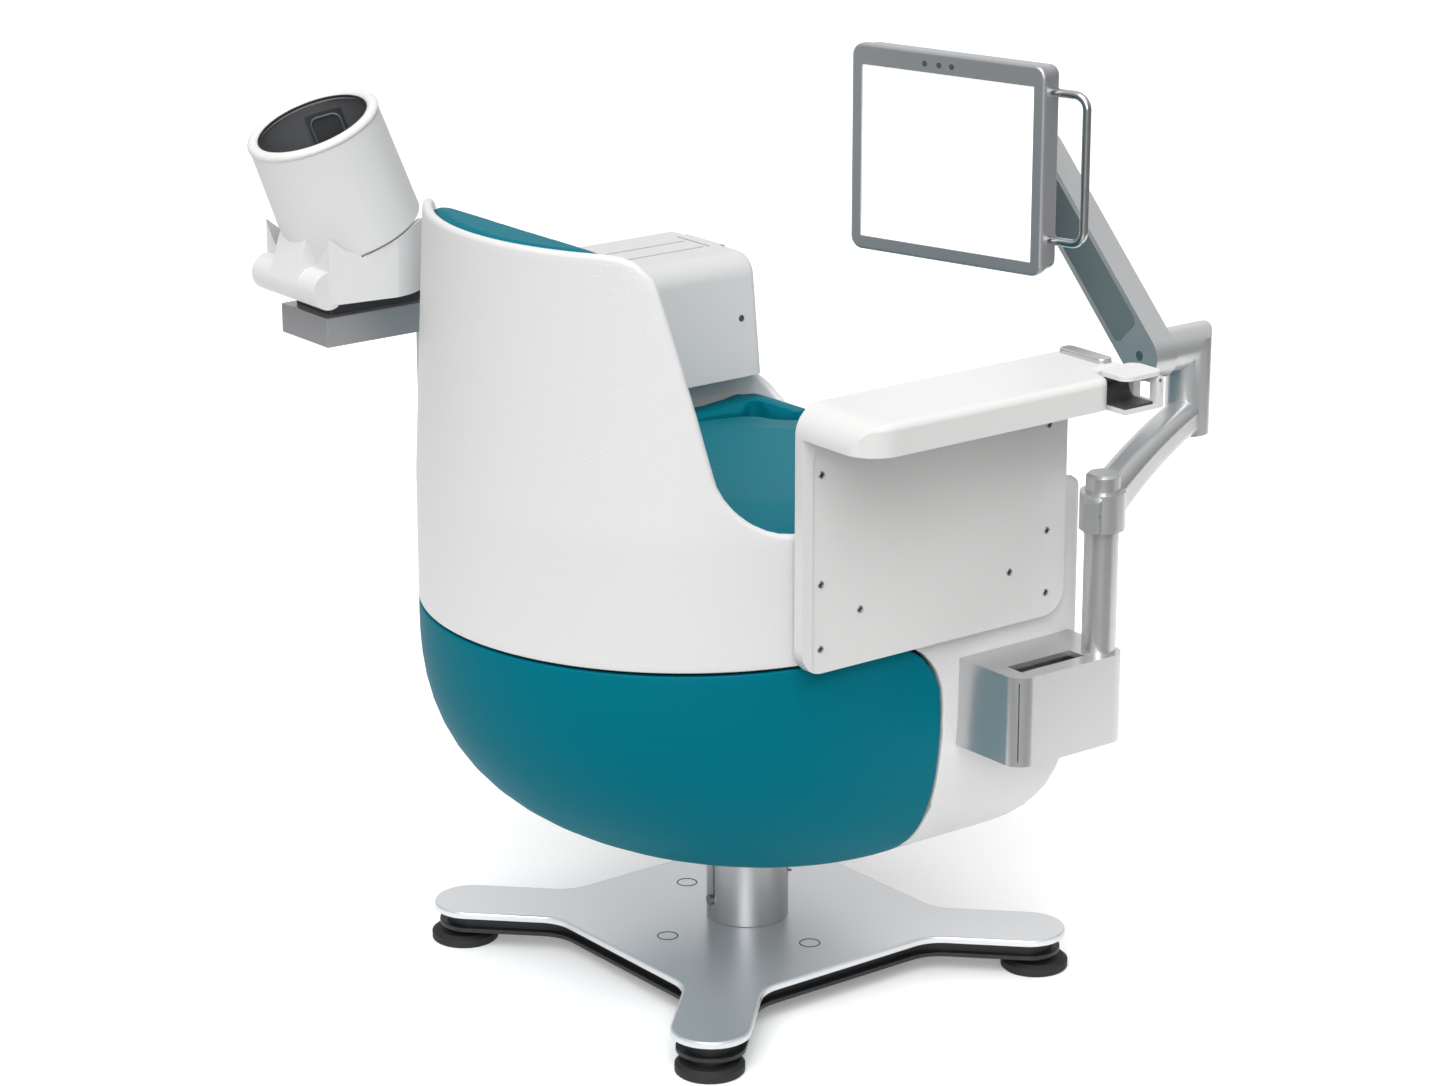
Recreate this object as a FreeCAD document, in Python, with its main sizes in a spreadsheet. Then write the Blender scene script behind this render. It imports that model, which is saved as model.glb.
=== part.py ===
import FreeCAD, Part
import Sketcher
import math
import os

# Patient chair with a turning bucket seat, an arm cuff on the left and a screen on the right.
# Millimetres. +Z is up, the sitter faces -Y and the sitter's right hand is at -X.
# The origin lies on the floor, under the axis of the column.

V = FreeCAD.Vector
DOC = FreeCAD.newDocument("patient_chair")
SHEET = DOC.addObject("Spreadsheet::Sheet", "Size")
PIECES = []

SIZES = (
    # base
    ("star_half_side", 190, "middle of the plate to its flat sides"),
    ("star_tip", 382, "middle of the plate to the end of an arm"),
    ("star_arm_width", 92, "width of an arm"),
    ("star_root_round", 50, "hollow corner where an arm leaves the plate"),
    ("plate_top", 50, "floor to the top of the plate"),
    ("plate_thickness", 8, "thickness of the plate"),
    ("plate_edge_round", 3, "rounded upper edge of the plate"),
    ("frame_height", 20, "height of the black frame under the plate"),
    ("frame_inset", 15, "frame drawn in from the edge of the plate"),
    ("lip_inset", 6, "lower lip of the frame drawn in from the edge of the plate"),
    ("lip_height", 5, "height of the lower lip"),
    ("foot_reach", 346, "middle of the plate to a foot"),
    ("foot_dia", 80, "foot disc"),
    ("foot_neck_dia", 44, "neck of a foot"),
    ("foot_disc_height", 14, "height of the foot disc"),
    ("cap_dia", 24, "bolt cap in the plate"),
    ("cap_depth", 3, "depth of a bolt cap"),
    ("cap_reach", 120, "middle of the plate to a bolt cap"),
    # column and swivel
    ("column_dia", 98, "column tube, outside"),
    ("column_wall", 5, "wall of the column tube"),
    ("column_top", 300, "floor to the top of the column tube"),
    ("socket_height", 90, "spigot of the base inside the tube"),
    ("socket_bore", 40, "bore of the spigot"),
    ("screw_dia", 8, "clamping screw of the column"),
    ("screw_head_dia", 13, "head of a clamping screw"),
    ("screw_head", 4, "height of a screw head"),
    ("screw_low", 76, "floor to the rear screw"),
    ("screw_high", 110, "floor to the front screw"),
    ("screw_low_angle", 81, "rear screw, turned from +X"),
    ("screw_high_angle", 232, "front screw, turned from +X"),
    ("bush_height", 70, "length of the swivel bush"),
    ("bush_flange", 5, "flange of the swivel bush"),
    ("thrust_thickness", 6, "thrust ring"),
    ("spindle_dia", 60, "seat spindle"),
    ("spindle_flange_dia", 170, "flange of the seat spindle"),
    ("spindle_flange", 10, "thickness of that flange"),
    ("nut_height", 12, "nut that holds the spindle down"),
    ("nut_across", 76, "nut, outside"),
    # tub
    ("tub_half_width", 310, "middle to the side wall, outside"),
    ("tub_rear", 400, "column axis to the back wall, outside"),
    ("tub_front", 264, "column axis to the front wall, outside"),
    ("hull_bottom", 163, "floor to the underside of the hull"),
    ("hull_shoulder", 460, "height where the hull starts to round in"),
    ("side_power", 3.6, "fullness of the rounding across"),
    ("rear_power", 2.3, "fullness of the rounding at the back"),
    ("front_power", 6, "fullness of the rounding at the front"),
    ("front_corner", 50, "upright front corners"),
    ("top_draw_in", 14, "walls drawn in at the top of the back"),
    ("shell_wall", 12, "wall of the shells"),
    ("rim_height", 630, "floor to the side rim"),
    ("back_height", 940, "floor to the top of the back"),
    ("wing_top", 298, "front edge of the back at its top"),
    ("wing_low", 236, "front edge of the back at the side rim"),
    ("wing_round", 32, "upper corner of the back"),
    ("notch_round", 66, "hollow corner between back and side rim"),
    ("front_round", 55, "front corner of the side rim"),
    ("front_sill", 506, "floor to the sill under the front of the seat"),
    ("leg_opening", 350, "width of the front opening for the legs"),
    ("split_height", 478, "floor to the seam of the lower cover"),
    ("split_front", 37, "column axis forward to the upright seam"),
    ("split_round", 85, "corner of the seam"),
    ("split_gap", 4, "width of the seam"),
    ("seam_reach", 14, "seam strip past the edge of the seam"),
    ("seam_thickness", 3, "seam strip"),
    # seat
    ("pan_height", 500, "floor to the underside of the seat pan"),
    ("pan_thickness", 12, "seat pan"),
    ("seat_height", 585, "floor to the crown of the seat cushion"),
    ("seat_crown", 14, "crown of the seat cushion"),
    ("cushion_round", 16, "rolled edge of a cushion"),
    ("lining_thickness", 34, "padded side lining"),
    ("lining_top", 620, "floor to the top of the side lining"),
    ("lining_front", 250, "column axis forward past the front of the lining"),
    ("back_cushion_top", 948, "floor to the top of the back cushion"),
    ("back_front_top", 276, "front of the back cushion at its top"),
    ("back_front_low", 240, "front of the back cushion at the seat"),
    ("back_crown", 14, "crown of the back cushion"),
    ("beam_width", 50, "cross beams of the seat frame"),
    ("beam_height", 40, "height of the cross beams"),
    ("beam_wall", 4, "wall of the cross beams"),
    ("beam_front", 150, "column axis forward to the front beam"),
    ("beam_rear", 130, "column axis back to the rear beam"),
    ("frame_plate", 8, "plate on the spindle flange"),
    ("frame_plate_width", 200, "width of that plate"),
    ("riser_spread", 170, "between the uprights of the seat frame"),
    # right armrest
    ("panel_thickness", 14, "side panel"),
    ("panel_rear", 179, "column axis back to the rear edge of the panel"),
    ("panel_front", 206, "column axis forward to its front edge"),
    ("panel_bottom", 474, "floor to the lower edge of the panel"),
    ("panel_round", 30, "lower corners of the panel"),
    ("panel_border", 14, "raised border behind and above the panel face"),
    ("panel_sink", 3, "panel face let in behind its border"),
    ("hole_dia", 5, "accessory holes in the panel"),
    ("hole_spread", 329, "between the outer rows of holes"),
    ("hole_inner_spread", 218, "between the inner pair of holes"),
    ("hole_top", 700, "floor to the upper holes"),
    ("hole_middle", 576, "floor to the middle holes"),
    ("hole_inner", 537, "floor to the inner pair"),
    ("hole_low", 502, "floor to the lower holes"),
    ("armrest_top", 780, "floor to the top of the armrests"),
    ("armrest_thickness", 36, "armrest shelf"),
    ("armrest_inset", 38, "inner edge of the shelf inside the side wall"),
    ("armrest_overhang", 123, "outer edge of the shelf past the side wall"),
    ("armrest_taper", 32, "inner edge drawn out toward the front"),
    ("armrest_front", 223, "column axis forward to the front of the shelf"),
    ("armrest_corner", 40, "corners of the shelf"),
    ("armrest_edge", 9, "rounded edges of the shelf"),
    ("trim_length", 82, "steel strip across the end of the shelf"),
    ("trim_width", 20, "width of the strip"),
    ("trim_height", 6, "height of the strip"),
    # fingertip clip
    ("clip_offset", 113, "side wall to the middle of the clip"),
    ("clip_width", 48, "clip, across"),
    ("clip_length", 58, "clip, front to back"),
    ("clip_height", 32, "clip, underside to the lid"),
    ("clip_plate", 5, "base and lid of the clip"),
    ("clip_post", 11, "uprights of the clip"),
    ("clip_rear", 174, "column axis forward to the rear of the clip"),
    ("clip_tab", 36, "base of the clip, under the shelf"),
    ("clip_round", 12, "corners of the lid"),
    ("clip_room", 2, "clip to the notch in the shelf"),
    ("clip_pin_dia", 4, "hinge pin of the lid"),
    ("clip_liner_wall", 3, "dark liner of the clip"),
    # left console
    ("console_inset", 52, "inner face of the console inside the side wall"),
    ("console_overhang", 136, "outer face of the console past the side wall"),
    ("console_front", 226, "column axis forward to the front face"),
    ("console_rear", 164, "column axis back to the rear face"),
    ("console_round", 30, "rounded inner top edge"),
    ("console_lean", 18, "inner face of the console drawn out at the top"),
    ("console_edge", 14, "outer top edge of the console"),
    ("console_wall", 5, "wall of the console"),
    ("groove_width", 4, "grooves in the console top"),
    ("groove_depth", 2.5, "depth of the grooves"),
    ("groove_offset", 32, "side wall to the inner groove"),
    ("groove_pitch", 39, "between the grooves"),
    ("groove_front", 196, "column axis forward to the groove ends"),
    ("groove_length", 300, "length of the grooves"),
    ("flap_offset", 29, "side wall to the inner edge of the printer flap"),
    ("flap_width", 68, "printer flap, across"),
    ("flap_length", 20, "printer flap, front to back"),
    ("flap_thickness", 4, "printer flap"),
    ("paper_slot", 4, "slot behind the flap"),
    ("flap_pin_dia", 3, "hinge pin of the flap"),
    # arm cuff
    ("bracket_offset", 22, "side wall to the inner side of the cuff bracket"),
    ("bracket_width", 100, "cuff bracket, across"),
    ("bracket_rear", 362, "column axis back to the end of the bracket"),
    ("bracket_top", 775, "floor to the top of the bracket"),
    ("bracket_height", 35, "cuff bracket"),
    ("bracket_wall", 4, "wall of the bracket"),
    ("bracket_entry", 45, "bracket inside the console"),
    ("neck_inset", 13, "dark neck drawn in from the bracket"),
    ("neck_height", 20, "dark neck"),
    ("neck_length", 180, "dark neck, front to back"),
    ("cuff_dia", 164, "cuff, outside, at its lower end"),
    ("cuff_top_dia", 158, "cuff, outside, at its upper end"),
    ("cuff_wall", 6, "white wall of the cuff"),
    ("cuff_liner_wall", 3, "dark liner of the cuff"),
    ("cuff_length", 140, "cuff, along its axis"),
    ("cuff_start", 18, "hinge axis up to the lower end of the cuff"),
    ("cuff_lean", 22, "cuff leaning back"),
    ("cuff_gap", 2, "gap between cuff and cradle"),
    ("cuff_hinge_reach", 92, "hinge axis to the axis of the cuff"),
    ("cuff_hinge_dia", 44, "hinge barrels of the cuff"),
    ("cuff_hinge_lift", 17, "neck to the hinge axis"),
    ("cuff_hinge_back", 6, "hinge axis behind the end of the bracket"),
    ("cuff_tongue", 58, "middle hinge barrel"),
    ("tongue_slope", 40, "face of the hinge tongue, turned from the axis of the cuff"),
    ("cuff_pin_dia", 12, "hinge pin of the cuff"),
    ("cradle_width", 136, "cradle at its hinge barrels"),
    ("cradle_wall", 6, "walls of the cradle"),
    ("cuff_pad_width", 44, "pad in the cuff"),
    ("cuff_pad_length", 110, "length of that pad"),
    ("cuff_pad_wall", 3, "thickness of that pad"),
    # post and screen arm
    ("post_offset", 76, "side wall to the post axis"),
    ("post_front", 202, "column axis forward to the post axis"),
    ("post_dia", 39, "post"),
    ("post_top", 655, "floor to the top of the post"),
    ("post_chamfer", 3, "edge of the post"),
    ("holder_overhang", 101, "side wall to the outer face of the post holder"),
    ("holder_rear", 60, "column axis forward to the rear of the holder"),
    ("holder_front", 226, "column axis forward to the front of the holder"),
    ("holder_bottom", 340, "floor to the underside of the holder"),
    ("holder_height", 105, "post holder"),
    ("holder_round", 22, "upright corners of the holder"),
    ("holder_slot", 24, "slot in the top of the holder"),
    ("holder_slot_depth", 70, "depth of the slot"),
    ("collar_bottom", 590, "floor to the underside of the collar"),
    ("collar_height", 44, "collar of the lower arm"),
    ("collar_dia", 52, "collar of the lower arm"),
    ("collar_screw_dia", 6, "clamping screw of the collar"),
    ("arm_reach", 299, "post axis to the yoke axis"),
    ("arm_heading", -62, "lower arm, turned from +X"),
    ("arm_depth", 50, "lower arm at the collar, high"),
    ("arm_width", 40, "lower arm, wide"),
    ("yoke_bottom", 626, "floor to the foot of the yoke"),
    ("yoke_split", 668, "floor to the joint of the yoke"),
    ("yoke_dia", 53, "yoke"),
    ("yoke_spindle_dia", 22, "spindle in the yoke"),
    ("lift_height", 731, "floor to the lift axis"),
    ("lift_barrel_dia", 52, "barrel of the yoke"),
    ("lift_pin_dia", 12, "axle of the upper arm"),
    ("link_length", 283, "upper arm, axis to axis"),
    ("link_rise", 45.3, "upper arm above level"),
    ("link_height", 60, "upper arm, high"),
    ("link_width", 32, "upper arm, wide"),
    ("link_wall", 4, "cheeks and top of the upper arm"),
    ("link_offset", 64, "yoke axis to the middle of the upper arm"),
    ("journal_dia", 46, "journals in the cheeks of the arm"),
    ("level_offset", 16, "level bar beside the arm axis"),
    ("level_height", 12, "level bar, high"),
    ("level_width", 6, "level bar, wide"),
    ("level_pin_dia", 6, "pins of the level bar"),
    ("panel_inset", 7, "dark side panel drawn in from the arm outline"),
    ("panel_recess", 1, "side panel let into the cheek"),
    # screen
    ("screen_yaw", 15.7, "screen turned toward the sitter"),
    ("screen_lift", 25, "middle of the screen above the head axis"),
    ("screen_reach", 125, "pan axis to the front of the screen"),
    ("screen_width", 266, "screen housing"),
    ("screen_height", 245, "screen housing"),
    ("screen_depth", 40, "screen housing"),
    ("screen_corner", 15, "corners of the housing"),
    ("bezel_depth", 12, "front frame"),
    ("view_width", 237, "bright area of the screen"),
    ("view_height", 204, "bright area of the screen"),
    ("view_drop", 4, "bright area below the middle"),
    ("glass_thickness", 3, "screen glass"),
    ("sensor_dia", 7, "sensor windows"),
    ("sensor_lift", 108, "sensor windows above the middle"),
    ("handle_dia", 10, "rod of the handle"),
    ("handle_height", 182, "handle, end to end"),
    ("handle_lift", 4, "middle of the handle above the middle of the screen"),
    ("handle_back", 22, "handle behind the front of the screen"),
    ("handle_reach", 46, "handle, out from the side"),
    ("handle_bend", 16, "bends of the handle"),
    ("head_dia", 44, "head barrel"),
    ("pan_dia", 30, "pan boss"),
    ("pan_boss_height", 26, "pan boss, high"),
    ("pan_pin_dia", 10, "pan pin"),
    ("pan_reach", 40, "arm face to the pan axis"),
    ("pan_lug", 7, "lugs of the pan bracket"),
    ("tilt_reach", 62, "pan axis to the tilt axis"),
    ("tilt_dia", 20, "tilt barrel"),
    ("tilt_pin_dia", 8, "tilt pin"),
    ("tilt_width", 36, "tilt barrel, long"),
    ("tilt_ear", 6, "ears of the mount plate"),
    ("mount_size", 100, "mount plate"),
    ("mount_thickness", 5, "mount plate"),
    # fits
    ("running_fit", 0.05, "running clearance, on the radius"),
    ("seat_gap", 0.3, "clearance between seated pieces"),
)


class Dim:
    """A size that carries its number and the sheet expression it comes from."""

    def __init__(self, value, text):
        self.value = value
        self.text = text

    @staticmethod
    def of(thing):
        return thing if isinstance(thing, Dim) else Dim(thing, "(%r)" % thing)

    def __add__(self, other):
        other = Dim.of(other)
        return Dim(self.value + other.value, "(%s + %s)" % (self.text, other.text))

    def __sub__(self, other):
        other = Dim.of(other)
        return Dim(self.value - other.value, "(%s - %s)" % (self.text, other.text))

    def __mul__(self, other):
        other = Dim.of(other)
        return Dim(self.value * other.value, "(%s * %s)" % (self.text, other.text))

    def __truediv__(self, other):
        other = Dim.of(other)
        return Dim(self.value / other.value, "(%s / %s)" % (self.text, other.text))

    def __neg__(self):
        return Dim(-self.value, "(-1 * %s)" % self.text)

    def __radd__(self, other):
        return Dim.of(other) + self

    def __rsub__(self, other):
        return Dim.of(other) - self

    def __rmul__(self, other):
        return Dim.of(other) * self


def cosine(angle):
    return Dim(math.cos(math.radians(angle.value)), "cos(%s)" % angle.text)


def sine(angle):
    return Dim(math.sin(math.radians(angle.value)), "sin(%s)" % angle.text)


def fill_sheet():
    sizes = {}
    for row, (alias, value, note) in enumerate(SIZES, start=1):
        SHEET.set("A%d" % row, note)
        SHEET.set("B%d" % row, str(value))
        SHEET.setAlias("B%d" % row, alias)
        sizes[alias] = Dim(float(value), "Size." + alias)
    DOC.recompute()
    return sizes


S = fill_sheet()
ZERO = Dim.of(0.0)
ONE = Dim.of(1.0)


def bind(thing, name, size):
    thing.setExpression(name, Dim.of(size).text)


def place(thing, x=ZERO, y=ZERO, z=ZERO, axis=None, angle=ZERO):
    for letter, size in zip("xyz", (x, y, z)):
        bind(thing, "Placement.Base." + letter, size)
    if axis:
        axis = [Dim.of(part) for part in axis]
        thing.Placement.Rotation = FreeCAD.Rotation(V(*[part.value for part in axis]), Dim.of(angle).value)
        for letter, part in zip("xyz", axis):
            bind(thing, "Placement.Rotation.Axis." + letter, part)
        bind(thing, "Placement.Rotation.Angle", angle)


def keep(thing, label):
    """Name a finished sub-part and put it on the list that is written out."""
    thing.Label = label
    PIECES.append(thing)
    return thing


# Sketches and features of a body

def body(label, kept=True):
    made = DOC.addObject("PartDesign::Body", label)
    return keep(made, label) if kept else made


def sketch(part, role, lift=None):
    drawn = part.newObject("Sketcher::SketchObject", part.Name + "_sketch")
    plane = [each for each in part.Origin.OriginFeatures if each.Role == role][0]
    drawn.AttachmentSupport = (plane, [""])
    drawn.MapMode = "FlatFace"
    if lift is not None:
        bind(drawn, "AttachmentOffset.Base.z", lift)
    return drawn


def fix_point(drawn, line, end, x, y):
    for kind, size in (("DistanceX", x), ("DistanceY", y)):
        size = Dim.of(size)
        rule = drawn.addConstraint(Sketcher.Constraint(kind, -1, 1, line, end, size.value))
        bind(drawn, "Constraints[%d]" % rule, size)


def polygon(drawn, corners):
    corners = [(Dim.of(x), Dim.of(y)) for x, y in corners]
    first = drawn.GeometryCount
    points = [V(x.value, y.value, 0) for x, y in corners]
    for start, end in zip(points, points[1:] + points[:1]):
        drawn.addGeometry(Part.LineSegment(start, end))
    for index, (x, y) in enumerate(corners):
        before = first + (index - 1) % len(corners)
        drawn.addConstraint(Sketcher.Constraint("Coincident", before, 2, first + index, 1))
        fix_point(drawn, first + index, 1, x, y)


def rectangle(drawn, x_low, x_high, y_low, y_high):
    polygon(drawn, [(x_low, y_low), (x_high, y_low), (x_high, y_high), (x_low, y_high)])


def circle(drawn, x, y, radius):
    x, y, radius = Dim.of(x), Dim.of(y), Dim.of(radius)
    geometry = drawn.addGeometry(Part.Circle(V(x.value, y.value, 0), V(0, 0, 1), radius.value))
    fix_point(drawn, geometry, 3, x, y)
    rule = drawn.addConstraint(Sketcher.Constraint("Radius", geometry, radius.value))
    bind(drawn, "Constraints[%d]" % rule, radius)


def pad(part, drawn, length, backward=False):
    made = part.newObject("PartDesign::Pad", part.Name + "_pad")
    made.Profile = drawn
    made.Reversed = backward
    bind(made, "Length", length)
    DOC.recompute()
    return made


def pocket(part, drawn, depth, backward=False):
    before = part.Shape.Volume
    made = part.newObject("PartDesign::Pocket", part.Name + "_pocket")
    made.Profile = drawn
    made.Reversed = backward
    bind(made, "Length", depth)
    DOC.recompute()
    if part.Shape.Volume >= before:
        raise ValueError("the pocket in %s removes nothing" % part.Label)
    return made


def turn(part, drawn):
    made = part.newObject("PartDesign::Revolution", part.Name + "_turn")
    made.Profile = drawn
    made.ReferenceAxis = (drawn, ["V_Axis"])
    made.Angle = 360
    DOC.recompute()
    return made


def turned(label, corners, kept=True):
    """A body of revolution about its own upright axis, from corners of radius and height."""
    part = body(label, kept=kept)
    drawn = sketch(part, "XZ_Plane")
    polygon(drawn, corners)
    turn(part, drawn)
    return part


def round_edges(part, radius, pick, kind="Fillet"):
    DOC.recompute()
    base = part.Tip
    chosen = ["Edge%d" % number for number, edge in enumerate(base.Shape.Edges, start=1) if pick(edge)]
    made = part.newObject("PartDesign::" + kind, part.Name + "_edge")
    made.Base = (base, chosen)
    bind(made, "Radius" if kind == "Fillet" else "Size", radius)
    DOC.recompute()
    return made


def along(edge, axis):
    if edge.Curve.TypeId != "Part::GeomLine":
        return False
    return abs(abs(edge.tangentAt(edge.FirstParameter).dot(axis)) - 1) < 1e-6


def lies(edge, axis, height):
    """True where the whole edge lies in the plane across the axis at that height."""
    return all(abs(edge.valueAt(at).dot(axis) - height) < 1e-4
               for at in (edge.FirstParameter, (edge.FirstParameter + edge.LastParameter) / 2,
                          edge.LastParameter))


# Part primitives and booleans

def box(name, x_low, x_high, y_low, y_high, z_low, z_high):
    made = DOC.addObject("Part::Box", name)
    for letter, low, high, size in (("x", x_low, x_high, "Length"), ("y", y_low, y_high, "Width"),
                                    ("z", z_low, z_high, "Height")):
        bind(made, "Placement.Base." + letter, low)
        bind(made, size, Dim.of(high) - low)
    return made


def rod(name, radius, length, x=ZERO, y=ZERO, z=ZERO, axis=None, angle=ZERO):
    made = DOC.addObject("Part::Cylinder", name)
    bind(made, "Radius", radius)
    bind(made, "Height", length)
    place(made, x, y, z, axis, angle)
    return made


def cut(name, base, *tools):
    for number, tool in enumerate(tools):
        made = DOC.addObject("Part::Cut", "%s_cut%d" % (name, number))
        made.Base = base
        made.Tool = tool
        base = made
    DOC.recompute()
    return base


def fuse(name, *shapes):
    made = DOC.addObject("Part::MultiFuse", name + "_fuse")
    made.Shapes = list(shapes)
    made.Refine = True
    DOC.recompute()
    return made


def group(name, shapes):
    made = DOC.addObject("Part::Compound", name)
    made.Links = list(shapes)
    DOC.recompute()
    return made


def solid(name, shape):
    made = DOC.addObject("Part::Feature", name)
    made.Shape = shape
    return made


def rounded_wire(corners):
    """Closed wire through flat corners given as (point, radius), each with a tangent arc."""
    count = len(corners)
    edges = []
    ends = []
    for index, (point, radius) in enumerate(corners):
        back = (corners[index - 1][0] - point).normalize()
        ahead = (corners[(index + 1) % count][0] - point).normalize()
        if radius <= 0:
            ends.append((point, point))
            continue
        half = back.getAngle(ahead) / 2
        start = point + back * (radius / math.tan(half))
        end = point + ahead * (radius / math.tan(half))
        middle = point + (back + ahead).normalize() * (radius / math.sin(half) - radius)
        edges.append(Part.Arc(start, middle, end).toShape())
        ends.append((start, end))
    for index in range(count):
        start, end = ends[index][1], ends[(index + 1) % count][0]
        if start.distanceToPoint(end) > 1e-6:
            edges.append(Part.makeLine(start, end))
    return Part.Wire(Part.__sortEdges__(edges))


def prism(corners, direction):
    return Part.Face(rounded_wire(corners)).extrude(direction)


# Base

UP = V(0, 0, 1)
ROOT_TWO = math.sqrt(2)
FRAME_TOP = S["plate_top"] - S["plate_thickness"]
FRAME_BOTTOM = FRAME_TOP - S["frame_height"]


def star_corners(inset):
    """Corners of the four-armed plate, its arms on the diagonals, drawn in all round."""
    side = S["star_half_side"] - inset
    half_arm = S["star_arm_width"] / 2 - inset
    tip = S["star_tip"] - inset
    arm = [(side, side - half_arm * ROOT_TWO),
           ((tip + half_arm) / ROOT_TWO, (tip - half_arm) / ROOT_TWO),
           ((tip - half_arm) / ROOT_TWO, (tip + half_arm) / ROOT_TWO),
           (side - half_arm * ROOT_TWO, side)]
    corners = []
    for _ in range(4):
        corners += arm
        arm = [(-y, x) for x, y in arm]
    return corners


def star_pad(part, inset, height):
    """Pad of the star with round tips and hollow roots."""
    drawn = sketch(part, "XY_Plane")
    polygon(drawn, star_corners(inset))
    pad(part, drawn, height)
    limit = (S["star_half_side"].value * ROOT_TWO + S["star_tip"].value) / 2

    def upright(edge):
        return along(edge, UP) and edge.CenterOfMass.z < height.value * 0.51

    round_edges(part, S["star_root_round"] + inset,
                lambda edge: upright(edge) and math.hypot(*edge.CenterOfMass[:2]) < limit)
    round_edges(part, (S["star_arm_width"] / 2 - inset) * 0.98,
                lambda edge: upright(edge) and math.hypot(*edge.CenterOfMass[:2]) >= limit)


def base_plate():
    part = body("base_plate")
    star_pad(part, ZERO, S["plate_thickness"])
    top = S["plate_thickness"].value
    round_edges(part, S["plate_edge_round"], lambda edge: lies(edge, UP, top))
    drawn = sketch(part, "XY_Plane", S["plate_thickness"])
    for x, y in cap_places():
        circle(drawn, x, y, S["cap_dia"] / 2)
    pocket(part, drawn, S["cap_depth"])
    place(part, z=FRAME_TOP)


def cap_places():
    reach = S["cap_reach"]
    return [(reach, ZERO), (ZERO, reach), (-reach, ZERO)]


def plate_caps():
    caps = [rod("cap%d" % number, S["cap_dia"] / 2 - S["seat_gap"] / 2, S["cap_depth"], x, y,
                S["plate_top"] - S["cap_depth"])
            for number, (x, y) in enumerate(cap_places())]
    keep(group("plate_caps", caps), "plate_caps")


def base_underframe():
    """Black frame under the plate: a flange below and the upright part drawn in above it."""
    lip = body("frame_lip", kept=False)
    star_pad(lip, S["lip_inset"], S["lip_height"])
    upright = body("frame_upright", kept=False)
    star_pad(upright, S["frame_inset"], S["frame_height"])
    made = fuse("base_underframe", lip, upright)
    place(made, z=FRAME_BOTTOM)
    keep(made, "base_underframe")


def foot_pads():
    outer = S["foot_dia"] / 2
    neck = S["foot_neck_dia"] / 2
    disc = S["foot_disc_height"]
    profile = [(ZERO, ZERO), (outer - 2, ZERO), (outer, Dim.of(2.0)), (outer, disc - 4),
               (outer - 5, disc), (neck, disc), (neck, FRAME_BOTTOM), (ZERO, FRAME_BOTTOM)]
    reach = S["foot_reach"] / ROOT_TWO
    for number, (x, y) in enumerate(((reach, reach), (-reach, reach), (-reach, -reach), (reach, -reach)), 1):
        place(turned("foot_pad_%d" % number, profile), x, y)


# Column and swivel

COLUMN_RADIUS = S["column_dia"] / 2
COLUMN_BORE = COLUMN_RADIUS - S["column_wall"]
SPINDLE_RADIUS = S["spindle_dia"] / 2
THRUST_TOP = S["column_top"] + S["bush_flange"] + S["thrust_thickness"]
FLANGE_TOP = THRUST_TOP + S["running_fit"] + S["spindle_flange"]
SCREWS = ((S["screw_low"], S["screw_low_angle"]), (S["screw_high"], S["screw_high_angle"]))


def radial_rod(name, radius, start, length, height, angle):
    """Level rod pointing away from the column axis."""
    return rod(name, radius, length, start * cosine(angle), start * sine(angle), height,
               (-sine(angle), cosine(angle), ZERO), Dim.of(90.0))


def column_socket():
    outer = COLUMN_BORE - S["running_fit"]
    bore = S["socket_bore"] / 2
    height = S["socket_height"]
    place(turned("column_socket", [(bore, ZERO), (outer, ZERO), (outer, height), (bore, height)]),
          z=S["plate_top"])


def column_tube():
    outer = rod("column_outer", COLUMN_RADIUS, S["column_top"] - S["plate_top"], z=S["plate_top"])
    bore = rod("column_inner", COLUMN_BORE, S["column_top"], z=ZERO)
    holes = [radial_rod("screw_hole%d" % number, S["screw_dia"] / 2 + S["running_fit"],
                        COLUMN_BORE - 5, S["column_wall"] + 10, height, angle)
             for number, (height, angle) in enumerate(SCREWS)]
    keep(cut("column_tube", outer, bore, *holes), "column_tube")


def column_screws():
    screws = []
    for number, (height, angle) in enumerate(SCREWS):
        shank = radial_rod("shank%d" % number, S["screw_dia"] / 2, COLUMN_BORE, S["column_wall"],
                           height, angle)
        head = radial_rod("head%d" % number, S["screw_head_dia"] / 2, COLUMN_RADIUS, S["screw_head"],
                          height, angle)
        screws.append(fuse("screw%d" % number, shank, head))
    keep(group("column_screws", screws), "column_screws")


def swivel_bush():
    inner = SPINDLE_RADIUS + S["running_fit"]
    outer = COLUMN_BORE - S["running_fit"]
    place(turned("swivel_bush", [(inner, -S["bush_height"]), (outer, -S["bush_height"]), (outer, ZERO),
                                 (COLUMN_RADIUS, ZERO), (COLUMN_RADIUS, S["bush_flange"]),
                                 (inner, S["bush_flange"])]), z=S["column_top"])


def thrust_ring():
    inner = SPINDLE_RADIUS + S["running_fit"]
    high = S["thrust_thickness"]
    place(turned("thrust_ring", [(inner, ZERO), (COLUMN_RADIUS, ZERO), (COLUMN_RADIUS, high), (inner, high)]),
          z=S["column_top"] + S["bush_flange"])


def seat_spindle():
    foot = S["column_top"] - S["bush_height"] - S["running_fit"] - S["nut_height"]
    neck = THRUST_TOP + S["running_fit"]
    flange = S["spindle_flange_dia"] / 2
    turned("seat_spindle", [(ZERO, foot), (SPINDLE_RADIUS, foot), (SPINDLE_RADIUS, neck), (flange, neck),
                            (flange, FLANGE_TOP), (ZERO, FLANGE_TOP)])


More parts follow.
